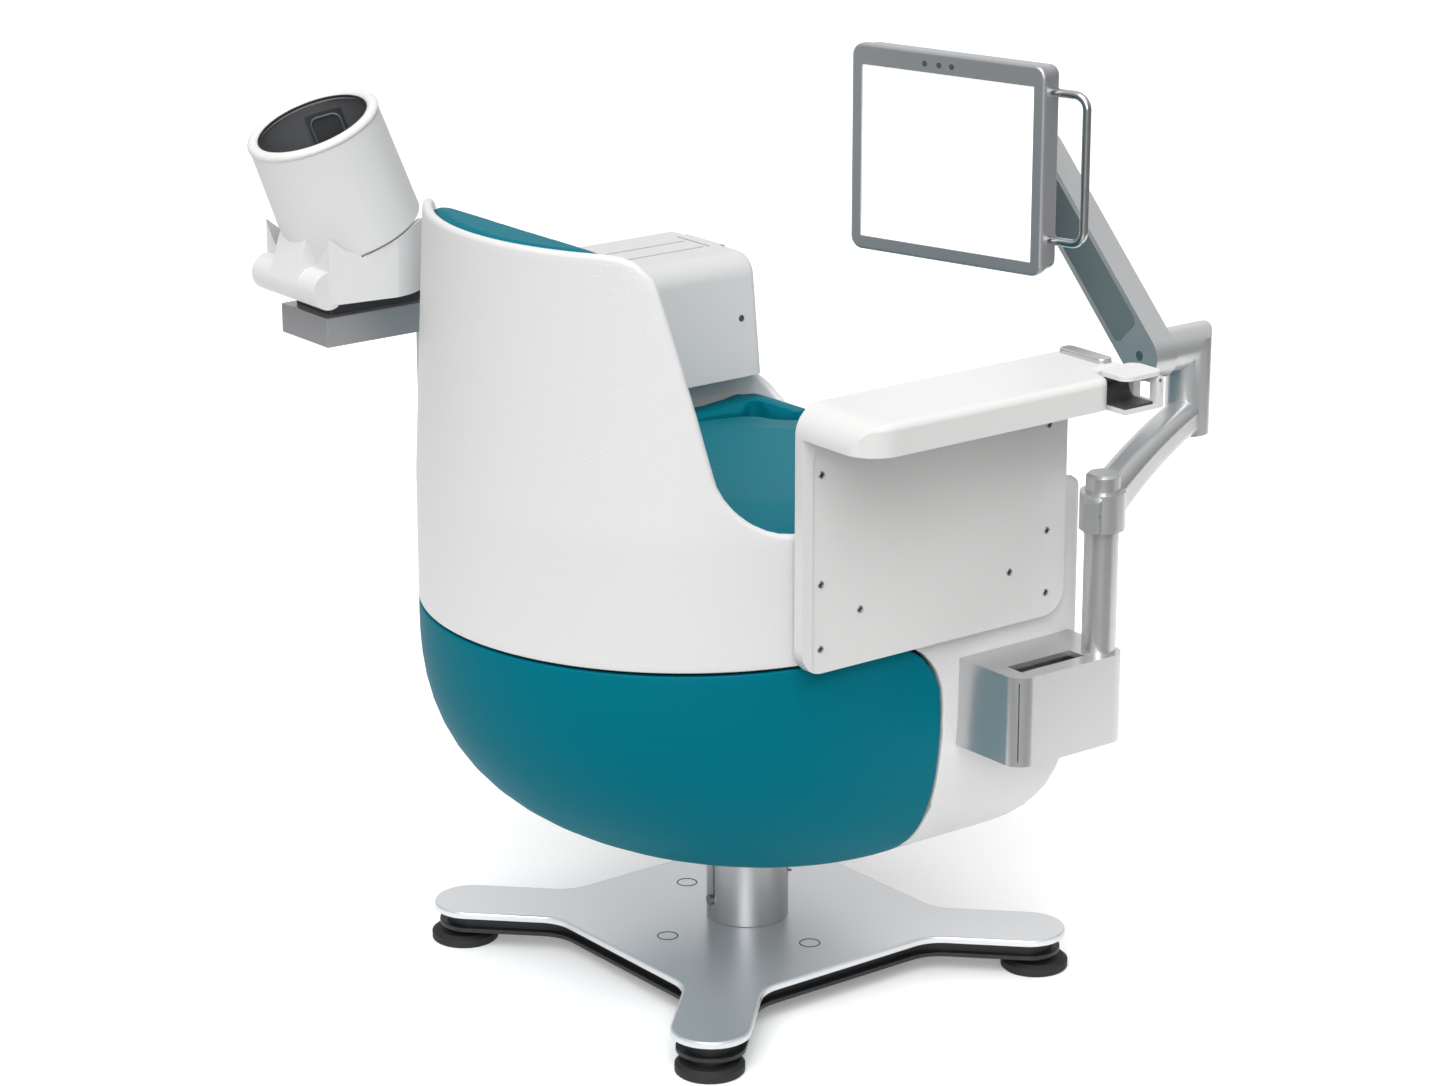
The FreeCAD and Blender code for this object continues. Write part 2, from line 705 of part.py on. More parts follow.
def spindle_nut():
    top = S["column_top"] - S["bush_height"] - S["running_fit"]
    outer = S["nut_across"] / 2
    turned("spindle_nut", [(SPINDLE_RADIUS, top - S["nut_height"]), (outer, top - S["nut_height"]),
                           (outer, top), (SPINDLE_RADIUS, top)])


# Tub

FAR = 600.0
SIDE = S["tub_half_width"]
ARMREST_INNER = SIDE - S["armrest_inset"]
ARMREST_OUTER = SIDE + S["armrest_overhang"]
CLIP_MIDDLE = SIDE + S["clip_offset"]
CONSOLE_INNER = SIDE - S["console_inset"]
CONSOLE_OUTER = SIDE + S["console_overhang"]
GROOVE_FIRST = SIDE + S["groove_offset"]
FLAP_INNER = SIDE + S["flap_offset"]
BRACKET_INNER = SIDE + S["bracket_offset"]
POST_SIDE = SIDE + S["post_offset"]
HOLDER_OUTER = SIDE + S["holder_overhang"]
LAYER = S["shell_wall"] + S["seat_gap"] * 2 + S["seam_thickness"]
HULL_STEPS = (0.97, 0.90, 0.80, 0.66, 0.50, 0.33, 0.16, 0.0)


def hull_measures(height, inset):
    """Half width, rear and front of the tub at one height, drawn in from its outside."""
    bottom = S["hull_bottom"].value + inset
    shoulder = S["hull_shoulder"].value
    depth = min(max((shoulder - height) / (shoulder - bottom), 0.0), 1.0)
    rise = (height - S["rim_height"].value) / (S["back_height"].value - S["rim_height"].value)
    drawn_in = inset + S["top_draw_in"].value * max(rise, 0.0)

    def swell(power):
        return (1 - depth ** power) ** (1 / power)

    return ((S["tub_half_width"].value - drawn_in) * swell(S["side_power"].value),
            (S["tub_rear"].value - drawn_in) * swell(S["rear_power"].value),
            (S["tub_front"].value - inset) * swell(S["front_power"].value))


def hull_section(height, inset):
    """Level outline of the tub: flat front with round corners, straight sides, round back."""
    half, rear, front = hull_measures(height, inset)
    middle = rear - half
    corner = min(max(S["front_corner"].value - inset, 8.0), half * 0.6)
    bend = corner * (1 - math.sqrt(0.5))
    left, right = [], []
    for side, points in ((-1, left), (1, right)):
        points += [V(side * (half - corner), -front, height), V(side * (half - bend), bend - front, height),
                   V(side * half, corner - front, height), V(side * half, middle, height),
                   V(side * half * math.sqrt(0.5), middle + half * math.sqrt(0.5), height)]
    back = V(0, rear, height)
    return Part.Wire([Part.makeLine(left[0], right[0]),
                      Part.Arc(right[0], right[1], right[2]).toShape(),
                      Part.makeLine(right[2], right[3]),
                      Part.Arc(right[3], right[4], back).toShape(),
                      Part.Arc(back, left[4], left[3]).toShape(),
                      Part.makeLine(left[3], left[2]),
                      Part.Arc(left[2], left[1], left[0]).toShape()])


def hull_solid(inset):
    """Solid of the whole tub up past its rim, drawn in by the inset."""
    bottom = S["hull_bottom"].value + inset
    shoulder = S["hull_shoulder"].value
    heights = [shoulder - (shoulder - bottom) * math.sin(step * math.pi / 2) for step in HULL_STEPS]
    rim = S["rim_height"].value
    top = S["back_height"].value
    heights += [(shoulder + rim) / 2, rim, (rim + top) / 2, top, top + 40]
    return Part.makeLoft([hull_section(height, inset) for height in heights], True, False)


def side_view(corners):
    """Prism across the whole chair from corners of (forward-to-back, height, radius)."""
    return prism([(V(-FAR, y, z), radius) for y, z, radius in corners], V(2 * FAR, 0, 0))


def above_rim():
    """Space over the back, its sloping front edge and the side rims."""
    back, rim = S["back_height"].value, S["rim_height"].value
    front = -S["tub_front"].value - 1
    return side_view([(FAR, back, 0), (S["wing_top"].value, back, S["wing_round"].value),
                      (S["wing_low"].value, rim, S["notch_round"].value),
                      (front, rim, S["front_round"].value), (front, 0, 0), (-FAR, 0, 0),
                      (-FAR, FAR * 2, 0), (FAR, FAR * 2, 0)])


def cover_space(grow):
    """Space of the lower cover, made larger all round its seam."""
    top = S["split_height"].value + grow
    front = -S["split_front"].value - grow
    return side_view([(FAR, top, 0), (front, top, S["split_round"].value + grow), (front, 0, 0), (FAR, 0, 0)])


def front_opening(low):
    """Space for the legs in the front wall, down to a height."""
    half = S["leg_opening"].value / 2
    corners = [(V(-half, -FAR, low), 30), (V(half, -FAR, low), 30), (V(half, -FAR, FAR * 2), 0),
               (V(-half, -FAR, FAR * 2), 0)]
    return prism(corners, V(0, FAR - S["tub_front"].value / 2, 0))


def column_clearance():
    radius = COLUMN_RADIUS.value + S["split_gap"].value
    return Part.makeCylinder(radius, S["column_top"].value, V(0, 0, 0))


HULL = {inset: hull_solid(inset) for inset in (0.0, S["shell_wall"].value)}
WALL = HULL[0.0].cut(HULL[S["shell_wall"].value])


def upper_shell():
    shape = WALL.cut(above_rim()).cut(cover_space(S["split_gap"].value / 2))
    shape = shape.cut(front_opening(S["front_sill"].value)).cut(column_clearance())
    keep(solid("upper_shell", shape), "upper_shell")


def lower_cover():
    shape = WALL.common(cover_space(-S["split_gap"].value / 2)).cut(column_clearance())
    keep(solid("lower_cover", shape), "lower_cover")


def seam_strip():
    outer = S["shell_wall"].value + S["seat_gap"].value
    band = cover_space(S["seam_reach"].value).cut(cover_space(-S["seam_reach"].value))
    layer = hull_solid(outer).cut(hull_solid(outer + S["seam_thickness"].value))
    keep(solid("seam_strip", layer.common(band).cut(column_clearance())), "seam_strip")


# Seat

INNER = hull_solid(LAYER.value)
PAN_TOP = S["pan_height"] + S["pan_thickness"]
BEAM_BOTTOM = FLANGE_TOP + S["frame_plate"]
BEAM_TOP = BEAM_BOTTOM + S["beam_height"]


def seat_frame():
    half = S["frame_plate_width"] / 2
    width = S["beam_width"] / 2
    wide = S["tub_half_width"]
    pieces = [box("frame_plate_box", -half, half, -S["beam_front"] - width, S["beam_rear"] + width,
                  FLANGE_TOP, BEAM_BOTTOM)]
    hollows = []
    for number, middle in enumerate((-S["beam_front"], S["beam_rear"])):
        pieces.append(box("beam%d" % number, -wide, wide, middle - width, middle + width,
                          BEAM_BOTTOM, BEAM_TOP))
        inner = width - S["beam_wall"]
        hollows.append(box("beam_hollow%d" % number, -wide, wide, middle - inner, middle + inner,
                           BEAM_BOTTOM + S["beam_wall"], BEAM_TOP - S["beam_wall"]))
        for side in (-1, 1):
            at = S["riser_spread"] / 2 * side
            pieces.append(box("riser%d%d" % (number, side + 1), at - 15, at + 15, middle - 15, middle + 15,
                              BEAM_TOP, S["pan_height"]))
    frame = cut("seat_frame", fuse("seat_frame", *pieces), *hollows)
    shape = frame.Shape.common(hull_solid((S["shell_wall"] + S["seat_gap"]).value))
    keep(solid("seat_frame", shape), "seat_frame")


def seat_pan():
    slab = Part.makeBox(2 * FAR, 2 * FAR, S["pan_thickness"].value, V(-FAR, -FAR, S["pan_height"].value))
    keep(solid("seat_pan", INNER.common(slab)), "seat_pan")


def seat_cushion():
    """Slab, narrower where it passes the front wall, with a wide crown and rolled edges."""
    low = PAN_TOP.value + S["seat_gap"].value
    high = S["seat_height"].value
    crown, roll = S["seat_crown"].value, S["cushion_round"].value
    half = S["tub_half_width"].value - LAYER.value - S["lining_thickness"].value - 6
    tongue = S["leg_opening"].value / 2 - 6
    front = 4 - S["tub_front"].value
    step = front + LAYER.value + S["lining_thickness"].value
    rear = S["back_front_low"].value - S["back_crown"].value - 4
    right = [(V(tongue, front, low), 32), (V(tongue, step, low), 12), (V(half, step, low), 30),
             (V(half, rear, low), 135)]
    left = [(V(-corner.x, corner.y, low), radius) for corner, radius in reversed(right)]
    slab = prism(right + left, V(0, 0, high - low))
    bulge = (half ** 2 + crown ** 2) / (2 * crown)
    dome = Part.makeSphere(bulge)
    dome.rotate(V(0, 0, 0), V(0, 1, 0), 90)
    dome.translate(V(0, (front + rear) / 2, high - bulge))
    shape = slab.common(dome)
    upper = [edge for edge in shape.Edges if edge.CenterOfMass.z > low + roll and not along(edge, UP)]
    shape = shape.makeFillet(roll, upper)
    lower = [edge for edge in shape.Edges if edge.BoundBox.ZMax < low + 0.1]
    keep(solid("seat_cushion", shape.makeFillet(roll / 2, lower)), "seat_cushion")


def back_section(height, inset):
    """Level outline of the back cushion: round behind, softly crowned in front."""
    half, rear, _ = hull_measures(height, LAYER.value + S["seat_gap"].value + inset)
    middle = rear - half
    share = (height - PAN_TOP.value) / (S["back_cushion_top"].value - PAN_TOP.value)
    low, top = S["back_front_low"].value, S["back_front_top"].value
    front = low + (top - low) * share + inset
    roll = S["cushion_round"].value * 1.5
    wide = math.sqrt(half ** 2 - (front + roll - middle) ** 2)
    edge = wide - roll * 0.5
    corner = V((edge + wide) / 2 + roll * 0.22, front + roll * 0.4, height)
    left = [V(-edge, front, height), V(-corner.x, corner.y, height), V(-wide, front + roll, height)]
    right = [V(edge, front, height), corner, V(wide, front + roll, height)]
    return Part.Wire([Part.Arc(left[0], V(0, front - S["back_crown"].value, height), right[0]).toShape(),
                      Part.Arc(right[0], right[1], right[2]).toShape(),
                      Part.Arc(right[2], V(0, rear, height), left[2]).toShape(),
                      Part.Arc(left[2], left[1], left[0]).toShape()])


def back_cushion():
    low = PAN_TOP.value + S["seat_gap"].value
    high = S["back_cushion_top"].value
    roll = S["cushion_round"].value
    levels = ((low, roll / 2), (low + roll, 0), ((low + high) / 2, 0), (high - roll * 1.2, 0),
              (high - roll / 2, roll / 2), (high, roll * 1.5))
    sections = [back_section(height, inset) for height, inset in levels]
    room = hull_solid(LAYER.value + S["seat_gap"].value)
    keep(solid("back_cushion", Part.makeLoft(sections, True, False).common(room)), "back_cushion")


def side_linings():
    low = PAN_TOP.value + S["seat_gap"].value
    high = S["lining_top"].value
    rear = S["back_front_low"].value - S["back_crown"].value
    outline = side_view([(rear, low, 0), (rear, high, 30), (-S["lining_front"].value, high, 20),
                         (-S["lining_front"].value, low, 0)])
    layer = hull_solid(LAYER.value + S["seat_gap"].value)
    layer = layer.cut(hull_solid(LAYER.value + S["lining_thickness"].value)).common(outline)
    layer = layer.cut(front_opening(low - 60))
    for label, side in (("right_lining", -FAR), ("left_lining", 0)):
        part = layer.common(Part.makeBox(FAR, 2 * FAR, 2 * FAR, V(side, -FAR, 0)))
        keep(solid(label, part), label)


# Right armrest

PANEL_INNER = S["tub_half_width"] + S["seat_gap"]
PANEL_OUTER = PANEL_INNER + S["panel_thickness"]
SHELF_BOTTOM = S["armrest_top"] - S["armrest_thickness"]
CLIP_LEFT = -CLIP_MIDDLE - S["clip_width"] / 2
CLIP_RIGHT = -CLIP_MIDDLE + S["clip_width"] / 2
CLIP_REAR = -S["clip_rear"]
CLIP_FRONT = CLIP_REAR - S["clip_length"]
CLIP_FLOOR = SHELF_BOTTOM - S["seat_gap"]
CLIP_LID = CLIP_FLOOR + S["clip_height"]
CLIP_AXIS_Y = CLIP_FRONT + S["clip_post"] / 2
CLIP_AXIS_Z = CLIP_LID - S["clip_post"] / 2


def panel_holes():
    middle = (S["panel_rear"] - S["panel_front"]) / 2
    outer, inner = S["hole_spread"] / 2, S["hole_inner_spread"] / 2
    places = [(middle + side * outer, height) for side in (-1, 1)
              for height in (S["hole_top"], S["hole_middle"], S["hole_low"])]
    return places + [(middle + side * inner, S["hole_inner"]) for side in (-1, 1)]


def right_armrest():
    part = body("right_armrest")
    drawn = sketch(part, "YZ_Plane", -PANEL_OUTER)
    rectangle(drawn, -S["panel_front"], S["panel_rear"],
              S["panel_bottom"], S["armrest_top"] - S["armrest_edge"])
    pad(part, drawn, S["panel_thickness"])
    low = S["panel_bottom"].value
    round_edges(part, S["panel_round"],
                lambda edge: along(edge, V(1, 0, 0)) and edge.CenterOfMass.z < low + 1)
    drawn = sketch(part, "XY_Plane", SHELF_BOTTOM)
    notch_side, notch_rear = CLIP_RIGHT + S["clip_room"], CLIP_REAR + S["clip_room"]
    polygon(drawn, [(-ARMREST_OUTER, notch_rear), (notch_side, notch_rear), (notch_side, -S["armrest_front"]),
                    (-ARMREST_INNER - S["armrest_taper"], -S["armrest_front"]),
                    (-ARMREST_INNER, S["panel_rear"]), (-ARMREST_OUTER, S["panel_rear"])])
    pad(part, drawn, S["armrest_thickness"])
    outer, inner = -PANEL_OUTER.value, -PANEL_INNER.value

    def shelf_corner(edge):
        return along(edge, UP) and not outer - 1 < edge.CenterOfMass.x < inner + 1

    def notch_corner(edge):
        return shelf_corner(edge) and 1 - ARMREST_OUTER.value < edge.CenterOfMass.x < outer

    round_edges(part, S["clip_round"], notch_corner)
    for side, share in ((1, 1.0), (-1, 0.55)):
        round_edges(part, S["armrest_corner"] * share,
                    lambda edge: shelf_corner(edge) and edge.CenterOfMass.x < 1 - ARMREST_OUTER.value
                    and edge.CenterOfMass.y * side > 0)
    round_edges(part, S["armrest_corner"] / 2,
                lambda edge: shelf_corner(edge) and edge.CenterOfMass.x > inner and edge.CenterOfMass.y > 0)
    round_edges(part, S["armrest_edge"], lambda edge: lies(edge, UP, S["armrest_top"].value))
    drawn = sketch(part, "YZ_Plane", -PANEL_OUTER)
    border_rear, border_top = S["panel_rear"] - S["panel_border"], SHELF_BOTTOM - S["panel_border"]
    rectangle(drawn, -S["panel_front"] - 1, border_rear, S["panel_bottom"] - 1, border_top)
    pocket(part, drawn, S["panel_sink"], backward=True)
    corner = V(0, border_rear.value, border_top.value)

    def border_corner(edge):
        spot = edge.CenterOfMass
        return along(edge, V(1, 0, 0)) and V(0, spot.y, spot.z).distanceToPoint(corner) < 0.1

    round_edges(part, S["panel_border"], border_corner)
    drawn = sketch(part, "YZ_Plane", -PANEL_INNER)
    for y, z in panel_holes():
        circle(drawn, y, z, S["hole_dia"] / 2)
    pocket(part, drawn, S["panel_thickness"] + 1)


def armrest_trim():
    """Steel strip lying across the front end of the shelf."""
    part = body("armrest_trim")
    inner = -ARMREST_INNER - S["armrest_taper"]
    front = -S["armrest_front"] + S["armrest_edge"]
    drawn = sketch(part, "XY_Plane", S["armrest_top"])
    rectangle(drawn, inner - S["trim_length"], inner - S["armrest_edge"], front, front + S["trim_width"])
    pad(part, drawn, S["trim_height"])
    round_edges(part, S["trim_width"] * 0.4, lambda edge: along(edge, UP))
    top = (S["armrest_top"] + S["trim_height"]).value
    round_edges(part, S["trim_height"] / 3, lambda edge: lies(edge, UP, top))


# Fingertip clip

ACROSS = (0, 1, 0)


def clip_base():
    """Plate screwed under the shelf, with two uprights for the hinge of the lid."""
    low = CLIP_FLOOR - S["clip_plate"]
    plate = box("clip_plate", CLIP_LEFT, CLIP_RIGHT, CLIP_FRONT, CLIP_REAR, low, CLIP_FLOOR)
    tab = box("clip_tab", CLIP_RIGHT, CLIP_RIGHT + S["clip_tab"], CLIP_FRONT + S["clip_post"] * 2, CLIP_REAR,
              low, CLIP_FLOOR)
    posts = []
    for number, low in enumerate((CLIP_LEFT, CLIP_RIGHT - S["clip_post"])):
        posts.append(box("clip_post%d" % number, low, low + S["clip_post"], CLIP_FRONT,
                         CLIP_FRONT + S["clip_post"], CLIP_FLOOR, CLIP_AXIS_Z))
        posts.append(rod("clip_post_end%d" % number, S["clip_post"] / 2 - S["seat_gap"], S["clip_post"], low,
                         CLIP_AXIS_Y, CLIP_AXIS_Z, ACROSS, Dim.of(90.0)))
    hole = rod("clip_bore", S["clip_pin_dia"] / 2, S["clip_width"] + 2,
               CLIP_LEFT - 1, CLIP_AXIS_Y, CLIP_AXIS_Z, ACROSS, Dim.of(90.0))
    keep(cut("clip_base", fuse("clip_base", plate, tab, *posts), hole), "clip_base")


def clip_liner():
    """Dark trough for the fingertip, open toward the outside of the chair."""
    wall = S["clip_liner_wall"]
    low, high = CLIP_LEFT + wall, CLIP_RIGHT - wall
    front, rear = CLIP_FRONT + S["clip_post"] + 2, CLIP_REAR - wall
    top = CLIP_LID - wall * 2
    block = box("liner_block", low, high, front, rear, CLIP_FLOOR, top)
    radius = (top - CLIP_FLOOR - wall) / 2
    middle = CLIP_FLOOR + wall + radius
    bore = rod("liner_bore", radius, S["clip_length"], high - wall - radius, rear + 5, middle,
               (1, 0, 0), Dim.of(90.0))
    mouth = box("liner_mouth", low - 1, high - wall - radius, front - 5, rear + 5, CLIP_FLOOR + wall, top + 1)
    lid_side = box("liner_top", low - 1, high - wall * 3, front - 5, rear + 5, middle, top + 1)
    keep(cut("clip_liner", block, bore, mouth, lid_side), "clip_liner")


def clip_lid():
    """Lid that presses on the fingertip, with its knuckle between the uprights."""
    plate = body("lid_plate", kept=False)
    drawn = sketch(plate, "XY_Plane", CLIP_LID)
    rectangle(drawn, CLIP_LEFT, CLIP_RIGHT, CLIP_FRONT, CLIP_REAR)
    pad(plate, drawn, S["clip_plate"])
    round_edges(plate, S["clip_round"], lambda edge: along(edge, UP))
    low = CLIP_LEFT + S["clip_post"] + S["seat_gap"]
    high = CLIP_RIGHT - S["clip_post"] - S["seat_gap"]
    knuckle = rod("lid_knuckle", S["clip_post"] / 2, high - low, low, CLIP_AXIS_Y, CLIP_AXIS_Z,
                  ACROSS, Dim.of(90.0))
    web = box("lid_web", low, high, CLIP_AXIS_Y - S["clip_pin_dia"], CLIP_AXIS_Y + S["clip_pin_dia"],
              CLIP_AXIS_Z, CLIP_LID)
    hole = rod("lid_bore", S["clip_pin_dia"] / 2 + S["running_fit"], S["clip_width"] + 2, CLIP_LEFT - 1,
               CLIP_AXIS_Y, CLIP_AXIS_Z, ACROSS, Dim.of(90.0))
    shape = cut("clip_lid", fuse("clip_lid", plate, knuckle, web), hole)
    keep(shape, "clip_lid")


def clip_pin():
    keep(rod("clip_pin", S["clip_pin_dia"] / 2, S["clip_width"], CLIP_LEFT, CLIP_AXIS_Y, CLIP_AXIS_Z,
             ACROSS, Dim.of(90.0)), "clip_pin")


# Left console

CONSOLE_BOTTOM = S["rim_height"] + S["seat_gap"]
FLAP_AXIS_Y = -S["console_front"] + S["flap_pin_dia"]
FLAP_AXIS_Z = S["armrest_top"] - S["flap_thickness"] / 2
FLAP_OUTER = FLAP_INNER + S["flap_width"]
FLAP_REAR = -S["console_front"] + S["flap_length"]
BRACKET_OUTER = BRACKET_INNER + S["bracket_width"]
BRACKET_BOTTOM = S["bracket_top"] - S["bracket_height"]


def console_housing():
    part = body("console_block", kept=False)
    drawn = sketch(part, "XZ_Plane", -S["console_rear"])
    polygon(drawn, [(CONSOLE_INNER, CONSOLE_BOTTOM), (CONSOLE_OUTER, CONSOLE_BOTTOM),
                    (CONSOLE_OUTER, S["armrest_top"]),
                    (CONSOLE_INNER + S["console_lean"], S["armrest_top"])])
    pad(part, drawn, S["console_rear"] + S["console_front"])
    top = S["armrest_top"].value
    middle = (CONSOLE_INNER.value + CONSOLE_OUTER.value) / 2

    def long_edge(edge, inner):
        spot = edge.CenterOfMass
        return along(edge, V(0, 1, 0)) and spot.z > top - 1 and (spot.x < middle) == inner

    round_edges(part, S["console_round"], lambda edge: long_edge(edge, True))
    round_edges(part, S["console_edge"], lambda edge: long_edge(edge, False))
    front = S["console_front"].value
    round_edges(part, S["console_wall"] * 2,
                lambda edge: (lies(edge, V(0, 1, 0), -front)
                              and edge.CenterOfMass.z > CONSOLE_BOTTOM.value + 1))
    hollow_from_below(part, CONSOLE_BOTTOM, S["console_wall"])
    drawn = sketch(part, "XY_Plane", S["armrest_top"])
    for number in range(2):
        middle_line = GROOVE_FIRST + S["groove_pitch"] * number
        rectangle(drawn, middle_line - S["groove_width"] / 2, middle_line + S["groove_width"] / 2,
                  -S["groove_front"], -S["groove_front"] + S["groove_length"])
    pocket(part, drawn, S["groove_depth"])
    drawn = sketch(part, "XY_Plane", S["armrest_top"])
    rectangle(drawn, FLAP_INNER - S["seat_gap"], FLAP_OUTER + S["seat_gap"],
              -S["console_front"] - 1, FLAP_REAR + S["paper_slot"])
    pocket(part, drawn, S["console_wall"] * 2)
    drawn = sketch(part, "XZ_Plane", -S["console_rear"] - 1)
    rectangle(drawn, BRACKET_INNER - S["seat_gap"], BRACKET_OUTER + S["seat_gap"],
              BRACKET_BOTTOM - S["seat_gap"], S["bracket_top"] + S["seat_gap"])
    pocket(part, drawn, S["console_wall"] + 2, backward=True)
    reach = S["console_wall"]
    hinge = rod("flap_seat", S["flap_pin_dia"] / 2, S["flap_width"] + reach * 2, FLAP_INNER - reach,
                FLAP_AXIS_Y, FLAP_AXIS_Z, ACROSS, Dim.of(90.0))
    keep(cut("console_housing", part, hinge), "console_housing")


def hollow_from_below(part, bottom, wall):
    """Take out the inside of a body through its flat underside."""
    DOC.recompute()
    base = part.Tip
    faces = ["Face%d" % number for number, face in enumerate(base.Shape.Faces, start=1)
             if abs(face.CenterOfMass.z - bottom.value) < 1e-4]
    made = part.newObject("PartDesign::Thickness", part.Name + "_hollow")
    made.Base = (base, faces)
    made.Reversed = True
    bind(made, "Value", wall)
    DOC.recompute()


def console_bracket():
    """Plate on the outside of the left wall that carries the console from inside."""
    part = body("console_bracket")
    drawn = sketch(part, "YZ_Plane", PANEL_INNER)
    inset = S["console_wall"] + S["seat_gap"]
    rectangle(drawn, -S["console_front"] + inset * 2, S["console_rear"] - inset, S["panel_bottom"],
              S["armrest_top"] - inset)
    pad(part, drawn, S["panel_thickness"])
    low = S["panel_bottom"].value
    round_edges(part, S["panel_round"],
                lambda edge: along(edge, V(1, 0, 0)) and edge.CenterOfMass.z < low + 1)


def printer_flap():
    """Small flap in front of the paper slot, turning on a pin along its front edge."""
    low = S["armrest_top"] - S["flap_thickness"]
    plate = box("flap_plate", FLAP_INNER, FLAP_OUTER, FLAP_AXIS_Y, FLAP_REAR, low, S["armrest_top"])
    barrel = rod("flap_barrel", S["flap_thickness"] / 2, S["flap_width"], FLAP_INNER, FLAP_AXIS_Y,
                 FLAP_AXIS_Z, ACROSS, Dim.of(90.0))
    hole = rod("flap_bore", S["flap_pin_dia"] / 2 + S["running_fit"], S["flap_width"] + 2, FLAP_INNER - 1,
               FLAP_AXIS_Y, FLAP_AXIS_Z, ACROSS, Dim.of(90.0))
    keep(cut("printer_flap", fuse("printer_flap", plate, barrel), hole), "printer_flap")


def flap_pin():
    reach = S["console_wall"]
    keep(rod("flap_pin", S["flap_pin_dia"] / 2, S["flap_width"] + reach * 2, FLAP_INNER - reach,
             FLAP_AXIS_Y, FLAP_AXIS_Z, ACROSS, Dim.of(90.0)), "flap_pin")


# Arm cuff

CUFF_MIDDLE = BRACKET_INNER + S["bracket_width"] / 2
NECK_TOP = S["bracket_top"] + S["neck_height"]
HINGE_Y = S["bracket_rear"] + S["cuff_hinge_back"]
HINGE_Z = NECK_TOP + S["cuff_hinge_lift"]
CUFF_RADIUS = S["cuff_dia"] / 2
HINGE_RADIUS = S["cuff_hinge_dia"] / 2
LENGTHWISE = (1, 0, 0)


def cuff_bracket():
    front = S["console_rear"] - S["bracket_entry"]
    wall = S["bracket_wall"]
    outer = box("bracket_box", BRACKET_INNER, BRACKET_OUTER, front, S["bracket_rear"], BRACKET_BOTTOM,
                S["bracket_top"])
    inner = box("bracket_hollow", BRACKET_INNER + wall, BRACKET_OUTER - wall, front - 1,
                S["bracket_rear"] - wall, BRACKET_BOTTOM + wall, S["bracket_top"] - wall)
    keep(cut("cuff_bracket", outer, inner), "cuff_bracket")


def cuff_neck():
    inset = S["neck_inset"]
    rear = S["bracket_rear"] - inset
    keep(box("cuff_neck", BRACKET_INNER + inset, BRACKET_OUTER - inset, rear - S["neck_length"], rear,
             S["bracket_top"], NECK_TOP), "cuff_neck")


def lean(thing):
    """Stand a piece of the cuff on its hinge, leaning back."""
    place(thing, CUFF_MIDDLE, HINGE_Y, HINGE_Z, LENGTHWISE, -S["cuff_lean"])
    DOC.recompute()
    return thing


def cross_rod(name, radius, length, middle=ZERO):
    """Rod along the hinge of the cuff, in the frame of the hinge."""
    return rod(name, radius, length, middle - length / 2, ZERO, ZERO, ACROSS, Dim.of(90.0))


def cuff_sleeve(name, depth, wall, low, high):
    """Tapered sleeve of the cuff, drawn in from its outside by a depth, between two heights on its axis."""
    taper = (S["cuff_dia"] - S["cuff_top_dia"]) / 2 / S["cuff_length"]
    outer = [(CUFF_RADIUS - depth - taper * at, at) for at in (low, high)]
    inner = [(radius - wall, at) for radius, at in reversed(outer)]
    part = turned(name, outer + inner, kept=False)
    place(part, ZERO, -S["cuff_hinge_reach"], S["cuff_start"])
    return part


def tongue_prism():
    """Hinge tongue from the barrel up to the back of the cuff, in the frame of the hinge."""
    slope = math.radians(S["tongue_slope"].value)
    radius, start = HINGE_RADIUS.value, S["cuff_start"].value
    width = S["cuff_tongue"].value
    foot = V(-width / 2, radius * math.cos(slope), radius * math.sin(slope))
    inside = (CUFF_RADIUS - S["cuff_hinge_reach"]).value - S["cuff_wall"].value * 1.2
    climb = (foot.y - inside) / math.tan(slope)
    corners = [V(-width / 2, 0, 0), foot, V(-width / 2, inside, foot.z + climb),
               V(-width / 2, inside - 20, foot.z + climb), V(-width / 2, inside - 20, start)]
    return prism([(corner, 0) for corner in corners], V(width, 0, 0))


def cuff_shell():
    """Sleeve of the cuff with rounded rims, and the hinge barrel and tongue behind it."""
    wall, reach = S["cuff_wall"], S["cuff_hinge_reach"].value
    sleeve = cuff_sleeve("cuff_tube", ZERO, wall, ZERO, S["cuff_length"])
    round_edges(sleeve, wall * 0.45, lambda edge: edge.Curve.TypeId == "Part::GeomCircle")
    barrel = Part.makeCylinder(HINGE_RADIUS.value, S["cuff_tongue"].value,
                               V(-S["cuff_tongue"].value / 2, 0, 0), V(1, 0, 0))
    bore = Part.makeCone((CUFF_RADIUS - wall * 0.6).value, (S["cuff_top_dia"] / 2 - wall * 0.6).value,
                         S["cuff_length"].value, V(0, -reach, S["cuff_start"].value))
    radius = (S["cuff_pin_dia"] / 2 + S["running_fit"]).value
    hole = Part.makeCylinder(radius, FAR, V(-FAR / 2, 0, 0), V(1, 0, 0))
    fairing = solid("cuff_fairing", barrel.fuse(tongue_prism()).cut([bore, hole]))
    keep(lean(fuse("cuff_shell", sleeve, fairing)), "cuff_shell")


def cuff_liner():
    length = S["cuff_length"] - S["cuff_wall"]
    keep(lean(group("cuff_liner", [cuff_sleeve("liner_tube", S["cuff_wall"] + S["seat_gap"] / 2,
                                               S["cuff_liner_wall"], ZERO, length)])), "cuff_liner")


